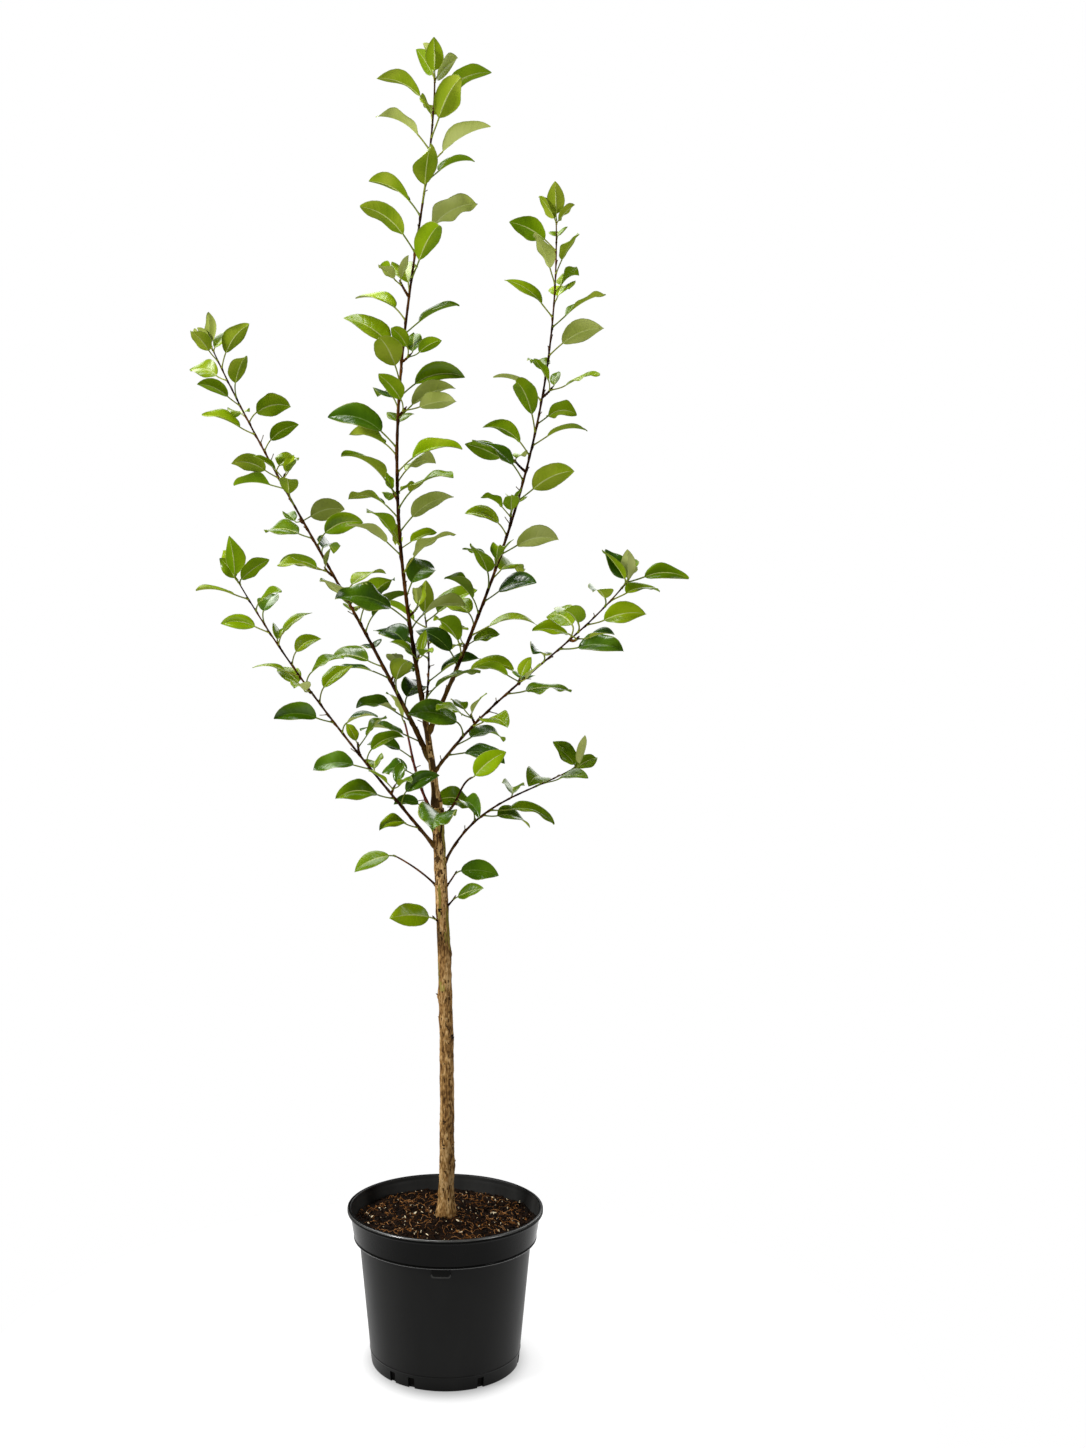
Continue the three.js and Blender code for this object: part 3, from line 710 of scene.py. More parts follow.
def add_petiole(shape, pose, look):
    share = np.linspace(0, 1, PETIOLE.rings)
    foot = pose.root + pose.leave * pose.stem_radius * PETIOLE.sunk
    slim = mix(*PETIOLE.radius, min(1, pose.size / PETIOLE.full_size))
    radii = slim * (1 + PETIOLE.base * np.exp(-share / PETIOLE.base_length) + PETIOLE.tip * share)
    add_tube(shape, bezier(foot, pose.knee, pose.base, share), radii, PETIOLE.sides, look)


# The tints of the leaves, and the small leaves that the part leaves out


UPPER = {  # a blade's upper face, by tint
    "deep": ((32, 64, 0), (44, 78, 1), (58, 96, 4)),
    "dark": ((52, 86, 0), (70, 106, 2), (90, 126, 8)),
    "mid": ((82, 112, 0), (102, 132, 2), (120, 148, 10)),
    "fresh": ((106, 134, 0), (128, 154, 4), (148, 170, 22)),
    "lime": ((130, 162, 2), (150, 180, 8), (170, 194, 34)),
}
LOWER = {  # a blade's lower face, by tint; the bright glow tint is painted light shining through the blade
    "dull": ((80, 108, 10), (98, 124, 24), (118, 138, 42)),
    "glow": ((100, 132, 0), (120, 150, 4), (138, 162, 18)),
    "mid": ((112, 136, 10), (132, 152, 24), (150, 164, 44)),
    "pale": ((150, 162, 70), (168, 178, 90), (182, 190, 112)),
}
# How likely each tint is, by the height of the leaf's foot.
TINT_HEIGHTS = (400, 620, 720, 900, 1240)
UPPER_CHANCES = {
    "deep": (0.0, 0.30, 0.25, 0.06, 0.0),
    "dark": (0.35, 0.36, 0.26, 0.14, 0.04),
    "mid": (0.45, 0.20, 0.25, 0.34, 0.20),
    "fresh": (0.20, 0.12, 0.20, 0.36, 0.48),
    "lime": (0.0, 0.02, 0.04, 0.10, 0.28),
}
LOWER_CHANCES = {
    "dull": (0.5, 0.4, 0.2, 0.06, 0.0),
    "glow": (0.1, 0.1, 0.2, 0.34, 0.40),
    "mid": (0.2, 0.25, 0.3, 0.28, 0.25),
    "pale": (0.2, 0.25, 0.3, 0.32, 0.35),
}
TINT_GIVEN = {
    "right_low": "mid",
    "trunk_leaf_left": "fresh",
    "trunk_leaf_right": "mid",
    "trunk_leaf_upper": "dark",
    "fork_leaf": "dark",
}
TINT_YOUNGER = 300  # a leaf of a shoot's end has the tints of leaves this much higher up
TINT_OUTER = 240  # and so has another one at a limb's tip, by this much


def pick_tint(chances, height, rng):
    shares = [np.interp(height, TINT_HEIGHTS, row) for row in chances.values()]
    return int(rng.choice(len(shares), p=np.array(shares) / sum(shares)))


def leaves_of(row, poses, spurs, finishes):
    """One limb's blades and petioles as one piece."""
    dark_rib, pale_rib, rim, green_stalk, pale_stalk = len(UPPER) + len(LOWER) + np.arange(5)
    rng = np.random.default_rng(row["seed"])
    shape = Shape()
    for pose in poses + [pose for _, pose in spurs] + young_leaves(row, rng):
        height = pose.root[2] + (TINT_YOUNGER if pose.crest else TINT_OUTER * pose.share)
        upper = pick_tint(UPPER_CHANCES, height, rng)
        if row["name"] in TINT_GIVEN:
            upper = list(UPPER).index(TINT_GIVEN[row["name"]])
        lower = len(UPPER) + pick_tint(LOWER_CHANCES, height, rng)
        add_blade(shape, pose, (upper, lower, dark_rib if upper < 2 else pale_rib, pale_rib, rim), rng)
        add_petiole(shape, pose, green_stalk if upper < 3 else pale_stalk)
    made = shape.piece(row["name"] + "_leaves", finishes["leaf"], sharp=70)
    hand_in(made, "foliage", row["name"] + "_foliage")


YOUNG = Sizes(rises=(76, 22, -8), size=(36, 54), droop=30, lean=46, shortest_limb=150)
SPURS = Sizes(
    gap=62,  # between two spurs of a limb
    lowest=0.16,
    highest=0.7,
    length=(7, 15),
    leaves=3,
    leaf=(24, 38),
    rise=(30, 62),
    droop=(20, 50),
    shortest_limb=240,
    hours=8,
)


def young_leaves(row, rng):
    """The small unfolding leaves at the tip of a long shoot."""
    end = limbs[row["name"]].length
    if end < YOUNG.shortest_limb:
        return []
    found = []
    for i, rise in enumerate(YOUNG.rises):
        size = rng.uniform(*YOUNG.size)
        small = dict(row, leaf=(size, size), rise=(rise, rise), droop=(YOUNG.droop,) * 2, lean=YOUNG.lean)
        hour = 12 * i / len(YOUNG.rises) + rng.uniform(-1, 1) + 6
        found.append(Pose(small, end - 1 - i * 2.5, hour, 1, True, rng.uniform(0, 1, 8)))
    return found


def grow_spurs(bark, placed):
    """Short twigs with a tuft of small leaves, wherever a limb has room for one.

    Their lines join limbs. Each limb has its list of pairs, a spur's name and a leaf.
    """
    found = {row["name"]: [] for row in LIMBS}
    for row in LIMBS:
        limb = limbs[row["name"]]
        if limb.length < SPURS.shortest_limb:
            continue
        rng = np.random.default_rng(row["seed"] + 500)
        for start in np.arange(SPURS.lowest * limb.length, SPURS.highest * limb.length, SPURS.gap):
            length = start + rng.uniform(0, SPURS.gap * 0.5)
            first_hour = rng.uniform(0, 12)
            for turn in range(SPURS.hours):
                hour = first_hour + 12 * turn / SPURS.hours
                name = "%s_spur_%d" % (row["name"], length)
                limbs[name] = spur_line(limb, length, hour, rng)
                tuft = spur_leaves(dict(row, name=name), hour, rng)
                kept = []
                for pose in tuft:
                    points = probes(pose)
                    if has_room(row["name"], points, bark, placed + kept):
                        kept.append((row["name"], points))
                        found[row["name"]].append((name, pose))
                if len(kept) >= 2:
                    placed += kept
                    break
                found[row["name"]] = [(n, pose) for n, pose in found[row["name"]] if n != name]
                del limbs[name]
    return found


def spur_line(limb, length, hour, rng):
    stem = limb.along(length)
    across = off(stem, compass(math.radians(hour * 30)))
    reach = rng.uniform(*SPURS.length)
    start = limb.at(length)
    bent = unit(across * 0.8 + UP * 0.9)
    middle = start + (across + stem * 0.5) * reach * 0.5

    def radius(share, _length):
        return 1.15 + 0.5 * (1 - share) ** 3

    return Limb([start, middle, middle + bent * reach * 0.7], radius)


def spur_leaves(row, hour, rng):
    """A tuft of small leaves that spread round the hour that a spur points to."""
    end = limbs[row["name"]].length
    tuft = []
    for i in range(SPURS.leaves):
        size = rng.uniform(*SPURS.leaf)
        rise, droop = rng.uniform(*SPURS.rise), rng.uniform(*SPURS.droop)
        small = dict(row, leaf=(size, size), rise=(rise, rise), droop=(droop, droop))
        spread = hour + (i - 1) * 3.2 + rng.uniform(-0.6, 0.6)
        tuft.append(Pose(small, end - 1 - i * 1.5, spread, 1, i == 0, rng.uniform(0, 1, 8)))
    return tuft


# Shoots


STEM = Sizes(
    sides=14,
    step=2.0,
    node_proud=0.6,
    node_length=2.6,
    ridge=0.07,  # of the radius
    bud_length=3.4,
    stub_chance=0.6,
    stub_length=(4, 10),
    bare_gap=17,  # between two buds below the lowest leaf, the first of them at bare_first
    bare_first=16,
    old_to=0.14,  # the share of a limb up to which its bark is old, and brown
    brown_to=0.93,
)


def along_angle(limb, length, direction):
    """The angle of a direction round a limb, near enough in the frame that add_tube gives its rings."""
    ahead = limb.along(length)
    steady = np.eye(3)[np.argmin(np.abs(limb.along(np.linspace(0, limb.length, 60)).mean(axis=0)))]
    side = unit(np.cross(ahead, steady))
    return math.atan2(direction @ np.cross(ahead, side), direction @ side)


def exit_length(row):
    """How far along a limb its middle line comes out of its parent's bark."""
    limb, parent = limbs[row["name"]], limbs[row["parent"]]
    stations = np.arange(0, parent.length, 1.0)
    centres, radii = parent.at(stations), parent.radius(stations)
    for length in np.arange(0, limb.length / 2, 0.5):
        gaps = np.linalg.norm(centres - limb.at(length), axis=1)
        if (gaps > radii).all():
            return length
    return 0


def add_bud(shape, root, ahead, length, look):
    """A pointed bud whose width at each share of its length is a share of that length too."""
    share = np.array([0, 0.2, 0.45, 0.7, 0.9, 1])
    path = root + np.outer(share * length, ahead)
    add_tube(shape, path, length * np.array([0.16, 0.25, 0.26, 0.18, 0.08, 0.02]), 7, look)


def add_stub(shape, root, ahead, rng, look):
    """The dry stalk of a lost leaf or shoot."""
    length = rng.uniform(*STEM.stub_length)
    bent = unit(ahead + rng.uniform(-0.35, 0.35, 3))
    knee, tip = root + ahead * length * 0.5, root + (ahead + bent) * length * 0.5
    path = bezier(root, knee, tip, np.linspace(0, 1, 7))
    add_tube(shape, path, np.array([1, 0.62, 0.5, 0.46, 0.44, 0.5, 0.4]), 6, look)


def add_spur(shape, line, rng):
    """A spur's bark, ringed with the scars of former leaves, and the bud at its end."""
    lengths = np.linspace(0, line.length, 16)
    rings = 0.22 * np.sin(lengths * 2.4 + rng.uniform(0, 6))
    add_tube(shape, line.at(lengths), line.radius(lengths) + rings, 9, BROWN)
    add_bud(shape, line.at(line.length - 0.6), line.along(line.length), STEM.bud_length, SCALE)


def stem_looks(row, lengths, turn):
    """The bark of each face, in patches: grey-brown at the foot, then red-brown, and greener near the tip.

    The trunk's tan bark, with dark patches, runs on up the leader, and the left spur is partly red.
    """
    wander = fractal(circle(turn) * 0.9 + (lengths * 0.06)[:, None, None] * UP + row["seed"], 1.0, 3)
    share = lengths[:, None] / limbs[row["name"]].length + 0.08 * wander
    look = np.where(share < STEM.old_to, OLD, np.where(share < STEM.brown_to, BROWN, GREENER))
    tan = lengths[:, None] < row.get("tan", 0) * (1 + 0.9 * wander)
    look = np.where(tan, np.where(wander > 0.05, DARK, TAN), look)
    return np.where(wander > row.get("red", math.inf), RED, look)


def stem_of(row, poses, spurs, finishes):
    """One limb's bark, with its nodes, buds and stubs, as one piece."""
    rng = np.random.default_rng(row["seed"] + 1000)
    limb = limbs[row["name"]]
    shape = Shape()
    steps = max(8, round(limb.length / STEM.step))
    lengths = np.linspace(0, limb.length, steps)
    path = limb.at(lengths)
    radii = limb.radius(lengths)
    turn = turns(STEM.sides)

    nodes = [(pose.stem_length, pose.across) for pose in poses if not pose.crest]
    empty = [row["bare"] + i * NODE_GAP for i, sign in enumerate(row["leaves"]) if sign == "."]
    empty += list(np.arange(STEM.bare_first, max(0, row["bare"] - 8), STEM.bare_gap, float))
    bare_nodes = []
    for length in empty:
        bare_nodes.append((length, off(limb.along(length), compass(rng.uniform(0, 2 * np.pi)))))

    relief = np.zeros((steps, STEM.sides))
    for length, across in nodes + bare_nodes:
        near = hump((lengths - length + 1) / STEM.node_length)
        facing = np.maximum(0, np.cos(turn - along_angle(limb, length, across))) ** 2
        relief += STEM.node_proud * np.outer(near, facing + 0.25)
    ridges = fractal(circle(turn) * 3 + (lengths * 0.12)[:, None, None] * UP, 1.6)
    relief += radii[:, None] * STEM.ridge * ridges
    collar = 0.4 * radii[0] * hump((lengths - exit_length(row)) / (1.6 * radii[0]))
    relief += collar[:, None]
    add_tube(shape, path, radii, STEM.sides, stem_looks(row, lengths[:-1], turn), relief)

    for length, across in nodes:
        size = STEM.bud_length * mix(1, 0.6, length / limb.length)
        stem = limb.along(length)
        root = limb.at(length + 1.4) + across * limb.radius(length) * 0.8
        add_bud(shape, root, unit(stem + across * 0.5), size, SCALE)
    for length, across in bare_nodes:
        stem = limb.along(length)
        root = limb.at(length) + across * limb.radius(length) * 0.7
        if rng.uniform() < STEM.stub_chance and length > row["bare"] * 0.6:
            add_stub(shape, root, unit(stem * 0.6 + across), rng, STUB)
        else:
            add_bud(shape, root, unit(stem + across * 0.7), STEM.bud_length * 0.9, SCALE)
    add_bud(shape, limb.at(limb.length - 0.5), limb.along(limb.length), STEM.bud_length, SCALE)
    for name in sorted({name for name, _ in spurs}):
        add_spur(shape, limbs[name], rng)

    made = shape.piece(row["name"] + "_stem", finishes["stem"], sharp=60)
    own = (row["name"] + "_foliage", row["name"] + "_bough")
    hand_in(made, "shoot_bark", *(node for node in own if node in frame["nodes"]))


# The trunk


def trunk_scars():
    """Length, turn and size of each bud scar: the large ones of the part, and small ones between."""
    found = []
    for i in range(int((limbs["trunk"].length - TRUNK.flare_length) / TRUNK.knot_gap)):
        length = TRUNK.flare_length + (i + 0.5) * TRUNK.knot_gap
        for further, more, size in ((0, 60, 1.0), (0.46, 205, 0.55)):
            turn = math.radians(i * TRUNK.knot_turn + more)
            found.append((length + TRUNK.knot_gap * further, turn, size))
    return found


def trunk_piece(finishes):
    """The trunk's bark: fibres, plates, cracks, bud scars and lenticels, and green patches higher up."""
    line = limbs["trunk"]
    rng = np.random.default_rng(5)
    steps = int(line.length / TRUNK.step)
    lengths = np.linspace(0, line.length, steps)
    path, radii = line.at(lengths), line.radius(lengths)
    path[0] -= UP * TRUNK.sunk
    turn = turns(TRUNK.sides)
    around = circle(turn)
    up = lengths[:, None, None] * UP
    fibre = fractal(around * 7 + up * 0.1, 1.0, 4)
    plate = fractal(around * 2.6 + up * 0.22 + 7, 1.0, 3)
    lumps = fractal(around * 7 + up * 0.35, 6.0, 2)
    butt = np.maximum(0, 1 - lengths / TRUNK.flare_length)[:, None] ** 2
    relief = 0.2 * fibre + 0.24 * plate + 0.5 * lumps + TRUNK.fuller[0] + TRUNK.fuller[1] * butt
    high_up = np.clip((lengths / line.length - 0.7) / 0.3, 0, 1)[:, None]
    look = np.where(plate + 0.5 * fibre < -0.52 + 0.62 * high_up, CRACK, BARK)[:-1]
    green = fractal(around * 1.1 + up * 0.03 + 31, 1.0, 2)
    look[(green > 0.3)[:-1] & (lengths > line.length * TRUNK.green_from)[:-1, None]] = GREEN

    def patch(length, angle, tall, wide):
        away = np.angle(np.exp(1j * (turn - angle)))[None, :] * np.interp(length, lengths, radii) / wide
        return np.hypot((lengths[:, None] - length) / tall, away)

    buds = []
    for length, facing, size in trunk_scars():
        out = compass(facing)
        angle = along_angle(line, length, out)
        # a swelling with a sunken eye, and a crease under it
        reach = patch(length, angle, 5.2 * size + 1, 4.6 * size + 1)
        relief += 1.55 * size * hump(reach)
        eye = patch(length + 1.6 * size, angle, 1.5 * size, 2.4 * size)
        relief -= 0.8 * size * hump(eye)
        crease = patch(length - 4.2 * size, angle, 0.9, 5 * size)
        relief -= 0.4 * size * hump(crease)
        look[(eye[:-1] < 0.7) | (crease[:-1] < 0.3)] = SCAR
        surface = line.at(length) + out * (line.radius(length) + 0.9 * size)
        buds.append((surface, unit(out + UP * rng.uniform(0.2, 1.2)), size * rng.uniform(*TRUNK.bud)))
    for _ in range(TRUNK.lenticels):
        length, angle = rng.uniform(6, line.length - 4), rng.uniform(0, 2 * np.pi)
        spot = patch(length, angle, rng.uniform(0.5, 0.9), rng.uniform(1, 2.6))
        relief += rng.uniform(0.14, 0.3) * hump(spot)
        look[(spot[:-1] < 0.55) & (look == BARK)] = LENTICEL
    relief += (TRUNK.fork_swell * hump((lengths - line.length) / TRUNK.fork_length))[:, None]
    shape = Shape()
    add_tube(shape, path, radii, TRUNK.sides, look, relief)
    for root, ahead, length in buds:
        add_bud(shape, root, ahead, length, SCAR)
    hand_in(shape.piece("trunk_bark", finishes["trunk"], sharp=80), "trunk_bark", "trunk")


# The pot


def rounded(corners):
    """A profile whose corners, each a radius, a height and a rounding, are eased by short curves."""
    points = []
    for i, (r, z, ease) in enumerate(corners):
        here = np.array([r, z], float)
        if ease == 0:
            points.append(here)
            continue
        before, after = np.array(corners[i - 1][:2], float), np.array(corners[i + 1][:2], float)
        start = here + unit(before - here) * ease
        end = here + unit(after - here) * ease
        for t in np.linspace(0, 1, 5):
            points.append(start * (1 - t) ** 2 + 2 * here * t * (1 - t) + end * t**2)
    return np.array(points)


def lathe(shape, profile, sides, look):
    """A profile that starts and ends on the axis, turned about it. look gives each step's material."""
    ring = profile[1:-1]
    points = circle(turns(sides)) * ring[:, 0, None, None] + ring[:, 1, None, None] * UP
    looks = [look(*middle) for middle in (ring[1:] + ring[:-1]) / 2]
    first = shape.count
    shape.add(points, grid_faces(len(ring), sides, closed=True), np.repeat(looks, sides))
    shape.close(first, sides, (0, 0, profile[0, 1]), looks[0], start=True)
    shape.close(first + (len(ring) - 1) * sides, sides, (0, 0, profile[-1, 1]), looks[-1], start=False)


def pot_look(radius, height):
    """The body's black; the smoother black of the band and rim, darker as painted shade; their edges, paler
    as a painted highlight; and the inside, paler as painted light.
    """
    climb = (height - POT.band_bottom) / (POT.rim_bottom - POT.band_bottom)
    band = mix(POT.band_radius, POT.band_top_radius, min(1, climb)) - POT.wall / 2
    if height < POT.band_bottom - 0.5:
        wall = POT.foot_radius + POT.taper * height - POT.wall / 2
        # The inside wall is paler grey than the body: painted light.
        return PALE_PAINTED_LIGHT if radius < wall and height > POT.floor - 0.5 else BODY
    if radius < band:
        return PALE_PAINTED_LIGHT
    # The rim's lip and the band's lower ledge are paler grey: a painted highlight.
    lip = radius > POT.rim_radius - 1.2 and height > POT.height - 1.4
    ledge = height < POT.band_bottom + 0.4
    # Elsewhere the band and rim take a darker black than the body: painted shade.
    return PAINTED_EDGE_HIGHLIGHT if lip or ledge else BAND_PAINTED_SHADE


def pot_profile():
    """The outer wall with its band and rim, then the inner wall and floor, from the underside's middle."""
    foot, taper, wall = POT.foot_radius, POT.taper, POT.wall
    band, rim = POT.band_bottom, POT.rim_bottom

    def wall_at(z):
        return foot + taper * z

    # The underside is raised inside its standing ring, and a low step runs round the wall above the foot.
    return rounded([
        (0, 1.6, 0),
        (6, 1.6, 0.5),
        (7.2, 0.8, 0.5),
        (foot - 14, 0.8, 0.6),
        (foot - 12.8, 0, 0.4),
        (foot - 0.2, 0, 1.1),
        (wall_at(4), 4, 0),
        (wall_at(12.2), 12.2, 0.4),
        (wall_at(12.6) + 0.35, 12.8, 0.3),
        (wall_at(13.4) + 0.35, 13.4, 0.3),
        (wall_at(13.8), 14, 0.4),
        (wall_at(band - 2), band - 2, 0),
        (wall_at(band), band + 0.2, 0.8),
        (POT.band_radius + 0.15, band, 0.5),
        (POT.band_radius + 0.2, band + 1.6, 0.4),
        (POT.band_radius - 0.1, band + 2.4, 0.5),
        (POT.band_top_radius, rim, 0.9),
        (POT.rim_radius, rim + 0.7, 0.9),
        (POT.rim_radius - 0.1, POT.height, 1.5),
        (POT.rim_inner_radius, POT.height, 1.2),
        (POT.rim_inner_radius - 0.2, rim + 1, 1),
        (POT.band_top_radius - wall, rim - 1, 1),
        (POT.band_radius - wall, band + wall, 1),
        (wall_at(band) - wall, band + wall, 1),
        (wall_at(POT.floor) - wall, POT.floor, 1.5),
        (0, POT.floor, 0),
    ])


def slot_cutter():
    """The drainage slots, as boxes that cut the corner between wall and floor."""
    shape = Shape()
    reach, high, wide = SLOT.reach, SLOT.height, SLOT.width
    corners = np.array([(x, y, z) for x in (-1, 1) for y in (-1, 1) for z in (-1, 1)], float)
    box = corners * (wide / 2, reach / 2, high) + (0, -POT.foot_radius - 0.6, 0)
    faces = np.array([(0, 1, 3, 2), (4, 6, 7, 5), (0, 4, 5, 1), (2, 3, 7, 6), (0, 2, 6, 4), (1, 5, 7, 3)])
    for turn in range(SLOT.repeat):
        for angle in SLOT.angles:
            a = math.radians(angle + turn * 360 / SLOT.repeat)
            spin = np.array([(math.cos(a), -math.sin(a), 0), (math.sin(a), math.cos(a), 0), (0, 0, 1)])
            shape.add(box @ spin.T, faces, 0)
    return shape.piece("slot_cutter", [])


def add_lug(shape):
    """The moulded tab under the band, with rounded lower corners, that follows the pot's wall."""
    half, corner, sunk = LUG.width / 2, LUG.corner, 0.6
    top = POT.band_bottom + 0.5
    wall = POT.foot_radius + POT.taper * (top - LUG.height) - sunk
    columns = np.linspace(-half, half, LUG.columns)
    past = np.maximum(0, np.abs(columns) - (half - corner))
    low = top - LUG.height + corner - np.sqrt(np.maximum(0, corner**2 - past**2))
    high = np.full(LUG.columns, top)
    # Rows from the wall out to the face, each so proud of the wall and so far in from the tab's edge.
    rows = []
    for proud, inset in ((0, 0), (0.7, 0), (0.93, 0.12), (1, 0.5), (1, 1.6)):
        squeeze = 1 - inset / half * 0.6
        reach = wall + sunk + LUG.proud * proud - sunk * (proud == 0)
        rows.append((reach, columns * squeeze, np.minimum(low + inset, top - 0.2)))
    rows.append((wall + sunk + LUG.proud, columns * squeeze, high))
    rows.append((wall, columns, high))
    points = []
    for radius, across, height in rows:
        angle = (across + LUG.centre) / radius
        points.append(np.stack([radius * np.sin(angle), -radius * np.cos(angle), height], axis=-1))
    strip = np.repeat(np.arange(len(rows) - 1), LUG.columns - 1)
    # The tab's rounded lower edge takes the paler grey: a painted highlight.
    looks = np.where((strip == 2) | (strip == 3), PALE_PAINTED_LIGHT, BAND_PAINTED_SHADE)
    shape.add(np.array(points), grid_faces(len(rows), LUG.columns), looks)


def pot_piece(finishes):
    shape = Shape()
    lathe(shape, pot_profile(), POT.sides, pot_look)
    made = shape.piece("pot_shell", finishes["pot"], sharp=POT.sharp)
    cutter = slot_cutter()
    cut = made.modifiers.new("slots", "BOOLEAN")
    cut.operation = "DIFFERENCE"
    cut.solver = "EXACT"
    cut.object = cutter
    graph = bpy.context.evaluated_depsgraph_get()
    mesh = bpy.data.meshes.new_from_object(made.evaluated_get(graph))
    made.modifiers.clear()
    made.data = mesh
    bpy.data.objects.remove(cutter)
    mesh.set_sharp_from_angle(angle=math.radians(POT.sharp))
    hand_in(made, "pot_plastic", "pot")

    tab = Shape()
    add_lug(tab)
    hand_in(tab.piece("pot_lug", finishes["pot"], sharp=45), "pot_plastic")


# The compost


COMPOST = Sizes(
    rings=96,
    sides=240,
    heave=(2.2, 17),  # the height and the breadth of its unevenness, and then of its crumbs
    crumb=(1.5, 4.2),
    sunk=(0.6, 1.2),  # how far its ground lies below the part's, at the trunk and at the wall
    trunk_radius=9,
)
# Each kind of lump: how many, the sizes, the proportions, the looks to draw from and how far it is sunk.
LUMPS = (
    (5200, (0.7, 3.4), (1, 0.85, 0.7), [SOOTY] * 12 + [EARTHY] * 2 + [RUSTY], 0.35),
    (160, (2.4, 5.4), (1, 0.24, 0.2), [SOOTY, EARTHY, RUSTY], 0.2),
    (160, (1.4, 4.4), (1, 0.4, 0.36), [WHITE], 0.0),
)
FIBRES = Sizes(count=620, length=(4, 17), radius=(0.1, 0.24), sides=4, points=9, lift=0.5, arch=(0.3, 2.2))


def soil_edge():
    """The radius where the compost meets the inside of the band."""
    climb = (SOIL.edge_height - POT.band_bottom) / (POT.rim_bottom - POT.band_bottom)
    return mix(POT.band_radius, POT.band_top_radius, climb) - POT.wall - SOIL.gap


def soil_height(x, y):
    """The compost's uneven top, heaped a little round the trunk."""
    radius = np.hypot(x, y)
    share = np.clip((radius - SOIL.flat_radius) / (soil_edge() - SOIL.flat_radius), 0, 1)
    height = mix(SOIL.centre_height - COMPOST.sunk[0], SOIL.edge_height - COMPOST.sunk[1], share**0.8)
    place = np.stack([x, y, x * 0], axis=-1)
    for shift, (proud, broad) in ((0, COMPOST.heave), (50, COMPOST.crumb)):
        height = height + proud * fractal(place + shift, broad)
    return height


def bed_piece(finishes):
    """The compost's body: its top as a fine polar grid, and its side down to the pot's floor, near black as
    painted shade.
    """
    inside = POT.wall + SOIL.gap
    foot = POT.foot_radius - inside
    low, ledge = POT.floor + SOIL.gap, POT.band_bottom + inside
    sides = COMPOST.sides
    turn = turns(sides)
    radii = soil_edge() * np.linspace(0.01, 1, COMPOST.rings) ** 0.9
    x, y = np.outer(radii, np.cos(turn)), np.outer(radii, np.sin(turn))
    top = np.stack([x, y, soil_height(x, y)], axis=-1)
    below = [(POT.band_radius - inside, ledge)]
    below += [(foot + POT.taper * height, height) for height in (ledge, low)]
    points = np.concatenate([top, [circle(turn) * radius + height * UP for radius, height in below]])
    shape = Shape()
    on_side = np.arange(len(points) - 1) >= COMPOST.rings - 1
    shape.add(points, grid_faces(len(points), sides, closed=True), np.repeat(on_side, sides))
    shape.close(0, sides, (0, 0, top[0, :, 2].mean()), 0, start=True)
    shape.close((len(points) - 1) * sides, sides, (0, 0, low), 1, start=False)
    made = shape.piece("compost_bed", finishes["soil"], sharp=180)
    bm = bmesh.new()
    bm.from_mesh(made.data)
    bmesh.ops.recalc_face_normals(bm, faces=bm.faces)
    bm.to_mesh(made.data)
    bm.free()
    hand_in(made, "compost", "soil")


def lump_points():
    """A twenty-sided lump's points and faces."""
    bm = bmesh.new()
    bmesh.ops.create_icosphere(bm, subdivisions=1, radius=1)
    points = np.array([v.co for v in bm.verts])
    faces = np.array([[v.index for v in f.verts] for f in bm.faces])
    bm.free()
    return points, faces


def scattered(rng, count, clear):
    """Places on the compost's top, clear of the wall and the trunk."""
    radius = np.sqrt(rng.uniform(COMPOST.trunk_radius**2, (soil_edge() - clear) ** 2, count))
    turn = rng.uniform(0, 2 * np.pi, count)
    x, y = radius * np.cos(turn), radius * np.sin(turn)
    return np.stack([x, y, soil_height(x, y)], axis=-1)


def add_lumps(shape, rng, count, sizes, squash, looks, sunk):
    """Irregular lumps on the compost's top. squash is their three proportions."""
    base, faces = lump_points()
    for place in scattered(rng, count, 3):
        size = sizes[0] * (sizes[1] / sizes[0]) ** (rng.uniform() ** 2.2)
        body = base * (1 + rng.uniform(-0.28, 0.28, (len(base), 1))) * np.array(squash) * size / 2
        w, x, y, z = unit(rng.normal(size=4))
        turn = np.array([
            (1 - 2 * (y * y + z * z), 2 * (x * y - z * w), 2 * (x * z + y * w)),
            (2 * (x * y + z * w), 1 - 2 * (x * x + z * z), 2 * (y * z - x * w)),
            (2 * (x * z - y * w), 2 * (y * z + x * w), 1 - 2 * (x * x + y * y)),
        ])
        shape.add(body @ turn.T + place + UP * size * (0.5 - sunk), faces, rng.choice(looks))


def crumbs_piece(finishes):
    rng = np.random.default_rng(17)
    shape = Shape()
    for kind in LUMPS:
        add_lumps(shape, rng, *kind)
    hand_in(shape.piece("compost_crumbs", finishes["crumb"], sharp=25), "compost")


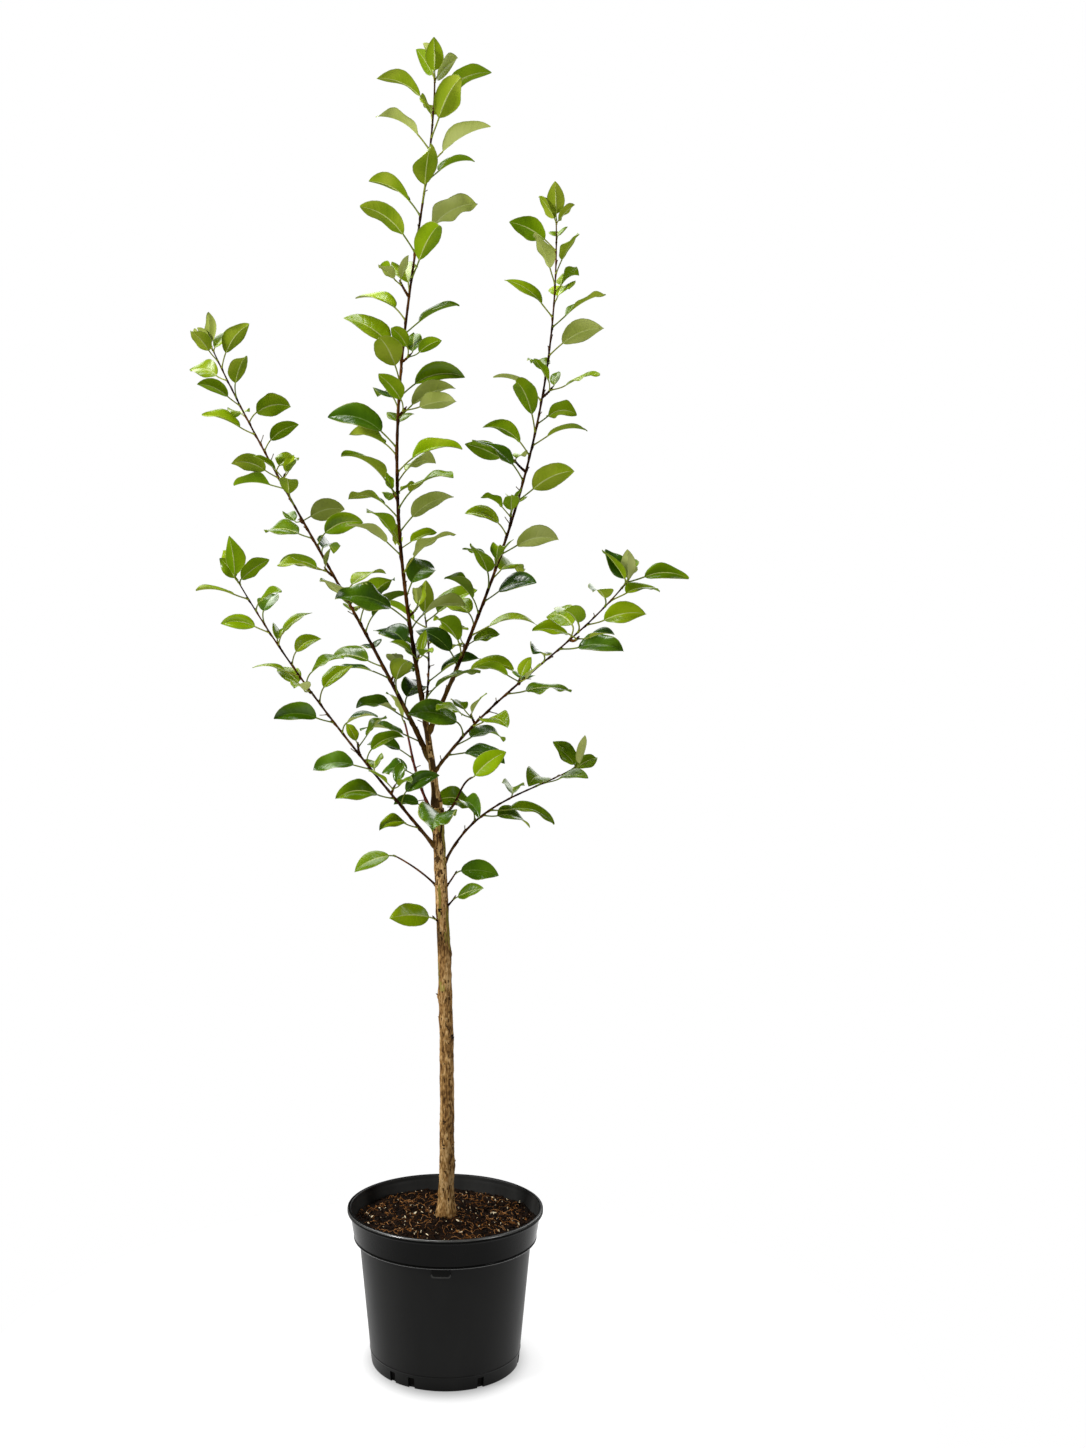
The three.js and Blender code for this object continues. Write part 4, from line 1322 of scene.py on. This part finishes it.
def fibres_piece(finishes):
    """Curly coir and root fibres that lie over the compost."""
    rng = np.random.default_rng(29)
    shape = Shape()
    share = np.linspace(0, 1, FIBRES.points)
    for place in scattered(rng, FIBRES.count, 10):
        length = rng.uniform(*FIBRES.length)
        heading = rng.uniform(0, 2 * np.pi)
        curl = heading + rng.uniform(-2.2, 2.2) * share + 0.5 * np.sin(share * rng.uniform(4, 11))
        steps = np.stack([np.cos(curl), np.sin(curl)], axis=-1) * length / (FIBRES.points - 1)
        flat = place[:2] + np.cumsum(steps, axis=0) - steps.sum(axis=0) / 2
        over = rng.uniform(*FIBRES.arch) * np.sin(np.pi * share) + FIBRES.lift
        path = np.column_stack([flat, soil_height(flat[:, 0], flat[:, 1]) + over])
        radii = np.full(FIBRES.points, rng.uniform(*FIBRES.radius))
        look = int(rng.choice([SOOTY, EARTHY, EARTHY, RUSTY, FIBRE]))
        add_tube(shape, path, radii, FIBRES.sides, look)
    hand_in(shape.piece("compost_fibres", finishes["crumb"], sharp=60), "compost")


# Finishes


def rgb(red, green, blue):
    """A screen colour as linear light."""
    shares = [c / 255 for c in (red, green, blue)]
    return tuple(c / 12.92 if c <= 0.04045 else ((c + 0.055) / 1.055) ** 2.4 for c in shares)


def fill(node, sockets):
    """Gives a node's sockets, by number or name, their constants or the outputs that feed them."""
    for name, value in sockets.items():
        socket = node.inputs[name.replace("_", " ") if isinstance(name, str) else name]
        if isinstance(value, bpy.types.NodeSocket):
            node.id_data.links.new(value, socket)
        else:
            socket.default_value = value


def add_node(tree, kind, *values, operation=None, **sockets):
    """A shader node with values for its first sockets, in order, and for others by name."""
    made = tree.nodes.new("ShaderNode" + kind)
    if operation:
        made.operation = operation
    fill(made, {**dict(enumerate(values)), **sockets})
    return made


def add_ramp(tree, share, stops):
    """The colour from a ramp through stops, each a place and a colour."""
    ramp = add_node(tree, "ValToRGB", share)
    elements = ramp.color_ramp.elements
    while len(elements) < len(stops):
        elements.new(0.5)
    for element, (place, colour) in zip(elements, stops):
        element.position = place
        element.color = (*colour, 1)
    return ramp.outputs["Color"]


def new_material(name):
    mat = bpy.data.materials.new(name)
    mat.use_nodes = True
    return mat, mat.node_tree, mat.node_tree.nodes["Principled BSDF"]


def finish(name, colours, scale, tall=1, rough=(0.4, 0.5), bump=0.2, bump_scale=None, depth=0.2, gloss=0.5,
           detail=5, fine=(0, 0), **sockets):
    """A finish whose colour wanders through colours, with its own relief.

    scale and bump_scale are the patterns' repeats to a metre, and tall is the share of them that is left
    upwards. depth is the relief's height in mm. fine is the strength and scale of a finer pattern in the
    colour, and gloss is the strength of the plain reflection.
    """
    mat, tree, shader = new_material(name)
    place = add_node(tree, "TexCoord").outputs["Object"]
    place = add_node(tree, "Mapping", Vector=place, Scale=(1, 1, tall)).outputs["Vector"]

    def pattern(repeats, layers=3, uneven=0.5):
        cloud = add_node(tree, "TexNoise", Vector=place, Scale=repeats, Detail=layers, Roughness=uneven)
        return cloud.outputs["Fac"]

    shade = pattern(scale, detail, 0.6)
    if fine[0]:
        both = add_node(tree, "Math", pattern(fine[1]), fine[0], shade, operation="MULTIPLY_ADD")
        shade = add_node(tree, "Math", both.outputs[0], fine[0] / 2, operation="SUBTRACT").outputs[0]
    # The noise mostly stays near its middle, so the colours and the roughness change there.
    stops = [(0.32 + 0.36 * i / (len(colours) - 1), rgb(*colour)) for i, colour in enumerate(colours)]
    shine = add_node(tree, "MapRange", shade, 0.35, 0.65, *rough)
    grain = pattern(bump_scale or scale * 6)
    relief = add_node(tree, "Bump", Strength=bump, Distance=depth * MM, Height=grain)
    sockets.update(Base_Color=add_ramp(tree, shade, stops), Roughness=shine.outputs["Result"],
                   Normal=relief.outputs["Normal"], Specular_IOR_Level=gloss)
    fill(shader, sockets)
    return mat


def leaf_finishes():
    """The upper and lower faces, the ribs, the rim and the stalks, in the order that leaves_of uses."""
    blade = dict(bump=0.05, bump_scale=260, depth=0.15, detail=1)
    made = [finish("leaf_upper_" + tint, colours, 30, rough=(0.34, 0.42), gloss=0.02, Coat_Roughness=0.23,
                   Coat_Weight=0.9 if tint in ("deep", "dark") else 0.45, **blade)
            for tint, colours in UPPER.items()]
    # The lower faces' glow tint is painted light shining through the blade.
    made += [finish("leaf_lower_" + tint, colours, 30, rough=(0.5, 0.6), gloss=0.06, **blade)
             for tint, colours in LOWER.items()]
    dull = dict(rough=(0.45, 0.55))
    return made + [
        finish("leaf_rib_dark", ((84, 116, 24), (110, 138, 46)), 120),
        finish("leaf_rib_pale", ((166, 178, 88), (190, 198, 118)), 120, **dull),
        finish("leaf_rim", ((118, 134, 26), (150, 158, 60)), 120, **dull),
        finish("petiole_green", ((94, 112, 12), (126, 138, 36)), 160, gloss=0.2, **dull),
        finish("petiole_pale", ((124, 134, 22), (152, 156, 52)), 160, gloss=0.2, **dull),
    ]


def all_finishes():
    """The finishes of each kind of piece, in the order of the numbers that its looks use."""
    tan_bark = finish("trunk_bark_tan", ((90, 60, 27), (164, 123, 70), (216, 178, 122)), 110, 0.3,
                      (0.62, 0.8), 0.8, 520, 0.7, 0.12, fine=(0.9, 620))
    dark_bark = finish("trunk_bark_dark", ((64, 42, 18), (92, 66, 34)), 200, 0.3,
                       (0.75, 0.85), 0.8, 700, 0.6, 0.1)
    mark = dict(rough=(0.75, 0.85), bump_scale=700, gloss=0.1)
    soil = dict(rough=(0.85, 0.98), gloss=0.1)
    crumb = dict(rough=(0.85, 0.95), bump=0.8, bump_scale=1200, depth=0.5, gloss=0.1)
    rusty = dict(crumb, rough=(0.8, 0.92), bump=0.7)
    return {
        "leaf": leaf_finishes(),
        "stem": [
            finish("shoot_bark_old", ((54, 32, 12), (88, 58, 24), (120, 94, 38)), 90, 0.35, (0.55, 0.7),
                   0.4, 700, 0.4, 0.05),
            finish("shoot_bark", ((20, 8, 1), (58, 30, 6), (112, 68, 24)), 110, 0.3, (0.46, 0.6),
                   0.3, 700, 0.3, 0.03),
            finish("shoot_bark_young", ((28, 15, 2), (66, 44, 8), (108, 86, 24)), 120, 0.4, (0.45, 0.58),
                   0.3, 700, 0.25, 0.03),
            finish("bud_scale", ((44, 26, 18), (76, 46, 32), (104, 74, 52)), 260, 1, (0.5, 0.65), 0.4),
            finish("dry_stub", ((86, 70, 36), (120, 104, 58)), 200, 1, (0.6, 0.75), 0.4),
            tan_bark,
            finish("shoot_bark_red", ((70, 20, 12), (104, 34, 20), (132, 58, 30)), 120, 0.3, (0.46, 0.6),
                   0.3, 700, 0.3, 0.2),
            dark_bark,
        ],
        "trunk": [
            tan_bark,
            finish("trunk_scar", ((30, 20, 12), (56, 38, 22)), 200, bump=0.8, depth=0.6, **mark),
            finish("trunk_lenticel", ((158, 128, 84), (190, 160, 112)), 200, bump=0.6, depth=0.5, **mark),
            dark_bark,
            finish("trunk_green", ((104, 92, 32), (140, 124, 52), (168, 148, 80)), 150, 0.3, (0.65, 0.8),
                   0.7, 520, 0.6, 0.12, fine=(0.7, 620)),
        ],
        "pot": [
            finish("pot_plastic_black", ((13, 13, 12), (17, 17, 16), (21, 21, 20)), 26, 0.4, (0.34, 0.42),
                   0.06, 900, 0.1, 0.12),
            # The band and rim are the body's plastic; their darker black is painted shade, their smoother
            # gloss their own.
            finish("pot_band_black_painted_shade", ((3, 3, 3), (6, 6, 5), (9, 9, 8)), 26, 0.4, (0.2, 0.28),
                   0.04, 900, 0.1, 0.085),
            # A painted highlight: pale grey for the rim's lip and the band's lower edge.
            finish("pot_edge_painted_highlight", ((54, 54, 52), (78, 78, 76)), 60, 1, (0.3, 0.4),
                   0.04, 900, 0.1, Coat_Weight=1, Coat_Roughness=0.2),
            # Pale grey for the body's plastic: painted light on the inside wall, and a painted highlight on
            # the tab's lower edge.
            finish("pot_pale_painted_light", ((38, 38, 37), (46, 46, 45), (54, 54, 52)), 26, 0.4, (0.4, 0.5),
                   0.06, 900, 0.1, 0.16),
        ],
        "soil": [
            finish("compost_dark", ((10, 5, 2), (22, 12, 5), (46, 26, 11)), 190, bump=1, bump_scale=620,
                   depth=1.2, **soil),
            # Near black for the compost's side and underside, which show through the slots: painted shade.
            finish("compost_side_painted_shade", ((4, 3, 2), (10, 7, 5)), 190, **soil),
        ],
        "crumb": [
            finish("crumb_dark", ((10, 5, 2), (26, 14, 6)), 300, **crumb),
            finish("crumb_brown", ((34, 18, 7), (60, 34, 14)), 300, **crumb),
            finish("crumb_rust", ((112, 68, 28), (160, 106, 52)), 300, **rusty),
            finish("fibre_tan", ((156, 100, 48), (208, 148, 84)), 300, 1, (0.75, 0.9), 0.5, 1200, 0.3),
            finish("perlite", ((240, 212, 160), (254, 240, 206)), 400, 1, (0.7, 0.85), 0.6, 1500, 0.4),
        ],
    }


# The studio


# The floor's glow is a row of pairs, a radius and the brightness there. Its dimmer glow close round the pot
# is a painted contact shadow.
FLOOR = Sizes(
    radius=0.45,
    corners=96,
    colour=(0.2, 0.2, 0.2),
    glow=((0.0715, 0.34), (0.08, 0.54), (0.087, 0.74), (0.095, 0.88), (0.112, 0.96), (0.4, 0.99)),
    narrower=1.13,  # the painted contact shadow round the pot is this much narrower from side to side than from front to back
)
# How bright the world is for the tree, level and straight below, and between which slopes that changes.
WORLD = Sizes(level=0.06, below=1.0, first=-0.25, last=-0.6)
# Each light's name, place, width and height in metres, and power. All aim at the crown.
LIGHTS = (
    ("key", (-2.1, -1.1, 1.8), (0.5, 0.9), 60),
    ("fill", (1.9, -1.3, 1.1), (0.5, 1.5), 14),
    ("top", (-0.3, -0.3, 2.7), (0.6, 0.6), 16),
    ("sheen", (-0.8, 0.9, 2.2), (1.3, 1.3), 27),
    ("back", (0.7, 1.9, 1.5), (1.2, 1.2), 12),
)
CROWN = (0, 0, 0.7)


def add_camera():
    data = bpy.data.cameras.new("camera")
    data.lens = CAMERA.lens
    data.shift_x = CAMERA.shift
    made = add_object("camera", data)
    made.location = (0, -CAMERA.distance * MM, CAMERA.height * MM)
    made.rotation_euler = (math.radians(90), 0, 0)
    bpy.context.scene.camera = made


def add_floor():
    """A white disc, darker close round the pot as a painted contact shadow, that ends in the white beyond.
    """
    mesh = bpy.data.meshes.new("floor")
    turn = np.linspace(0, 2 * np.pi, FLOOR.corners + 1)[:-1]
    mesh.from_pydata((circle(turn) * FLOOR.radius).tolist(), [], [list(range(FLOOR.corners))])
    mat, tree, shader = new_material("floor_white")
    place = add_node(tree, "TexCoord").outputs["Object"]
    place = add_node(tree, "Mapping", Vector=place, Scale=(FLOOR.narrower, 1, 1)).outputs["Vector"]
    reach = add_node(tree, "VectorMath", place, operation="LENGTH").outputs["Value"]
    # The glow is dimmer close round the pot: a painted contact shadow.
    glow = add_ramp(tree, reach, [(radius, (bright,) * 3) for radius, bright in FLOOR.glow])
    fill(shader, dict(Base_Color=(*FLOOR.colour, 1), Roughness=0.9, Specular_IOR_Level=0,
                      Emission_Color=(1, 1, 1, 1), Emission_Strength=glow))
    mesh.materials.append(mat)
    add_object("floor", mesh)


def add_light(name, place, size, power):
    data = bpy.data.lights.new(name, "AREA")
    data.shape = "RECTANGLE"
    data.size, data.size_y = size
    data.energy = power
    made = add_object(name, data)
    made.location = place
    made.rotation_euler = (Vector(CROWN) - Vector(place)).to_track_quat("-Z", "Y").to_euler()


def add_world():
    """White where the camera sees it, and light from below as from a wide white floor."""
    world = bpy.data.worlds.new("studio")
    bpy.context.scene.world = world
    world.use_nodes = True
    tree = world.node_tree
    tree.nodes.clear()
    white = (1, 1, 1, 1)
    seen = add_node(tree, "Background", Color=white, Strength=1)
    aim = add_node(tree, "TexCoord").outputs["Generated"]
    slope = add_node(tree, "SeparateXYZ", aim).outputs["Z"]
    bright = add_node(tree, "MapRange", slope, WORLD.first, WORLD.last, WORLD.level, WORLD.below)
    lit = add_node(tree, "Background", Color=white, Strength=bright.outputs["Result"])
    from_camera = add_node(tree, "LightPath").outputs["Is Camera Ray"]
    either = add_node(tree, "MixShader", from_camera, lit.outputs["Background"], seen.outputs["Background"])
    add_node(tree, "OutputWorld", Surface=either.outputs["Shader"])
    bpy.context.scene.view_settings.view_transform = "Standard"


def main():
    """The studio first, then each limb's leaves and bark, and last the trunk, the pot and the compost."""
    add_camera()
    add_floor()
    for light in LIGHTS:
        add_light(*light)
    add_world()
    finishes = all_finishes()
    grown, spurs = grow_leaves()
    for row in LIMBS:
        for make in (leaves_of, stem_of):
            make(row, grown[row["name"]], spurs[row["name"]], finishes)
    for make in (trunk_piece, pot_piece, bed_piece, crumbs_piece, fibres_piece):
        make(finishes)


main()
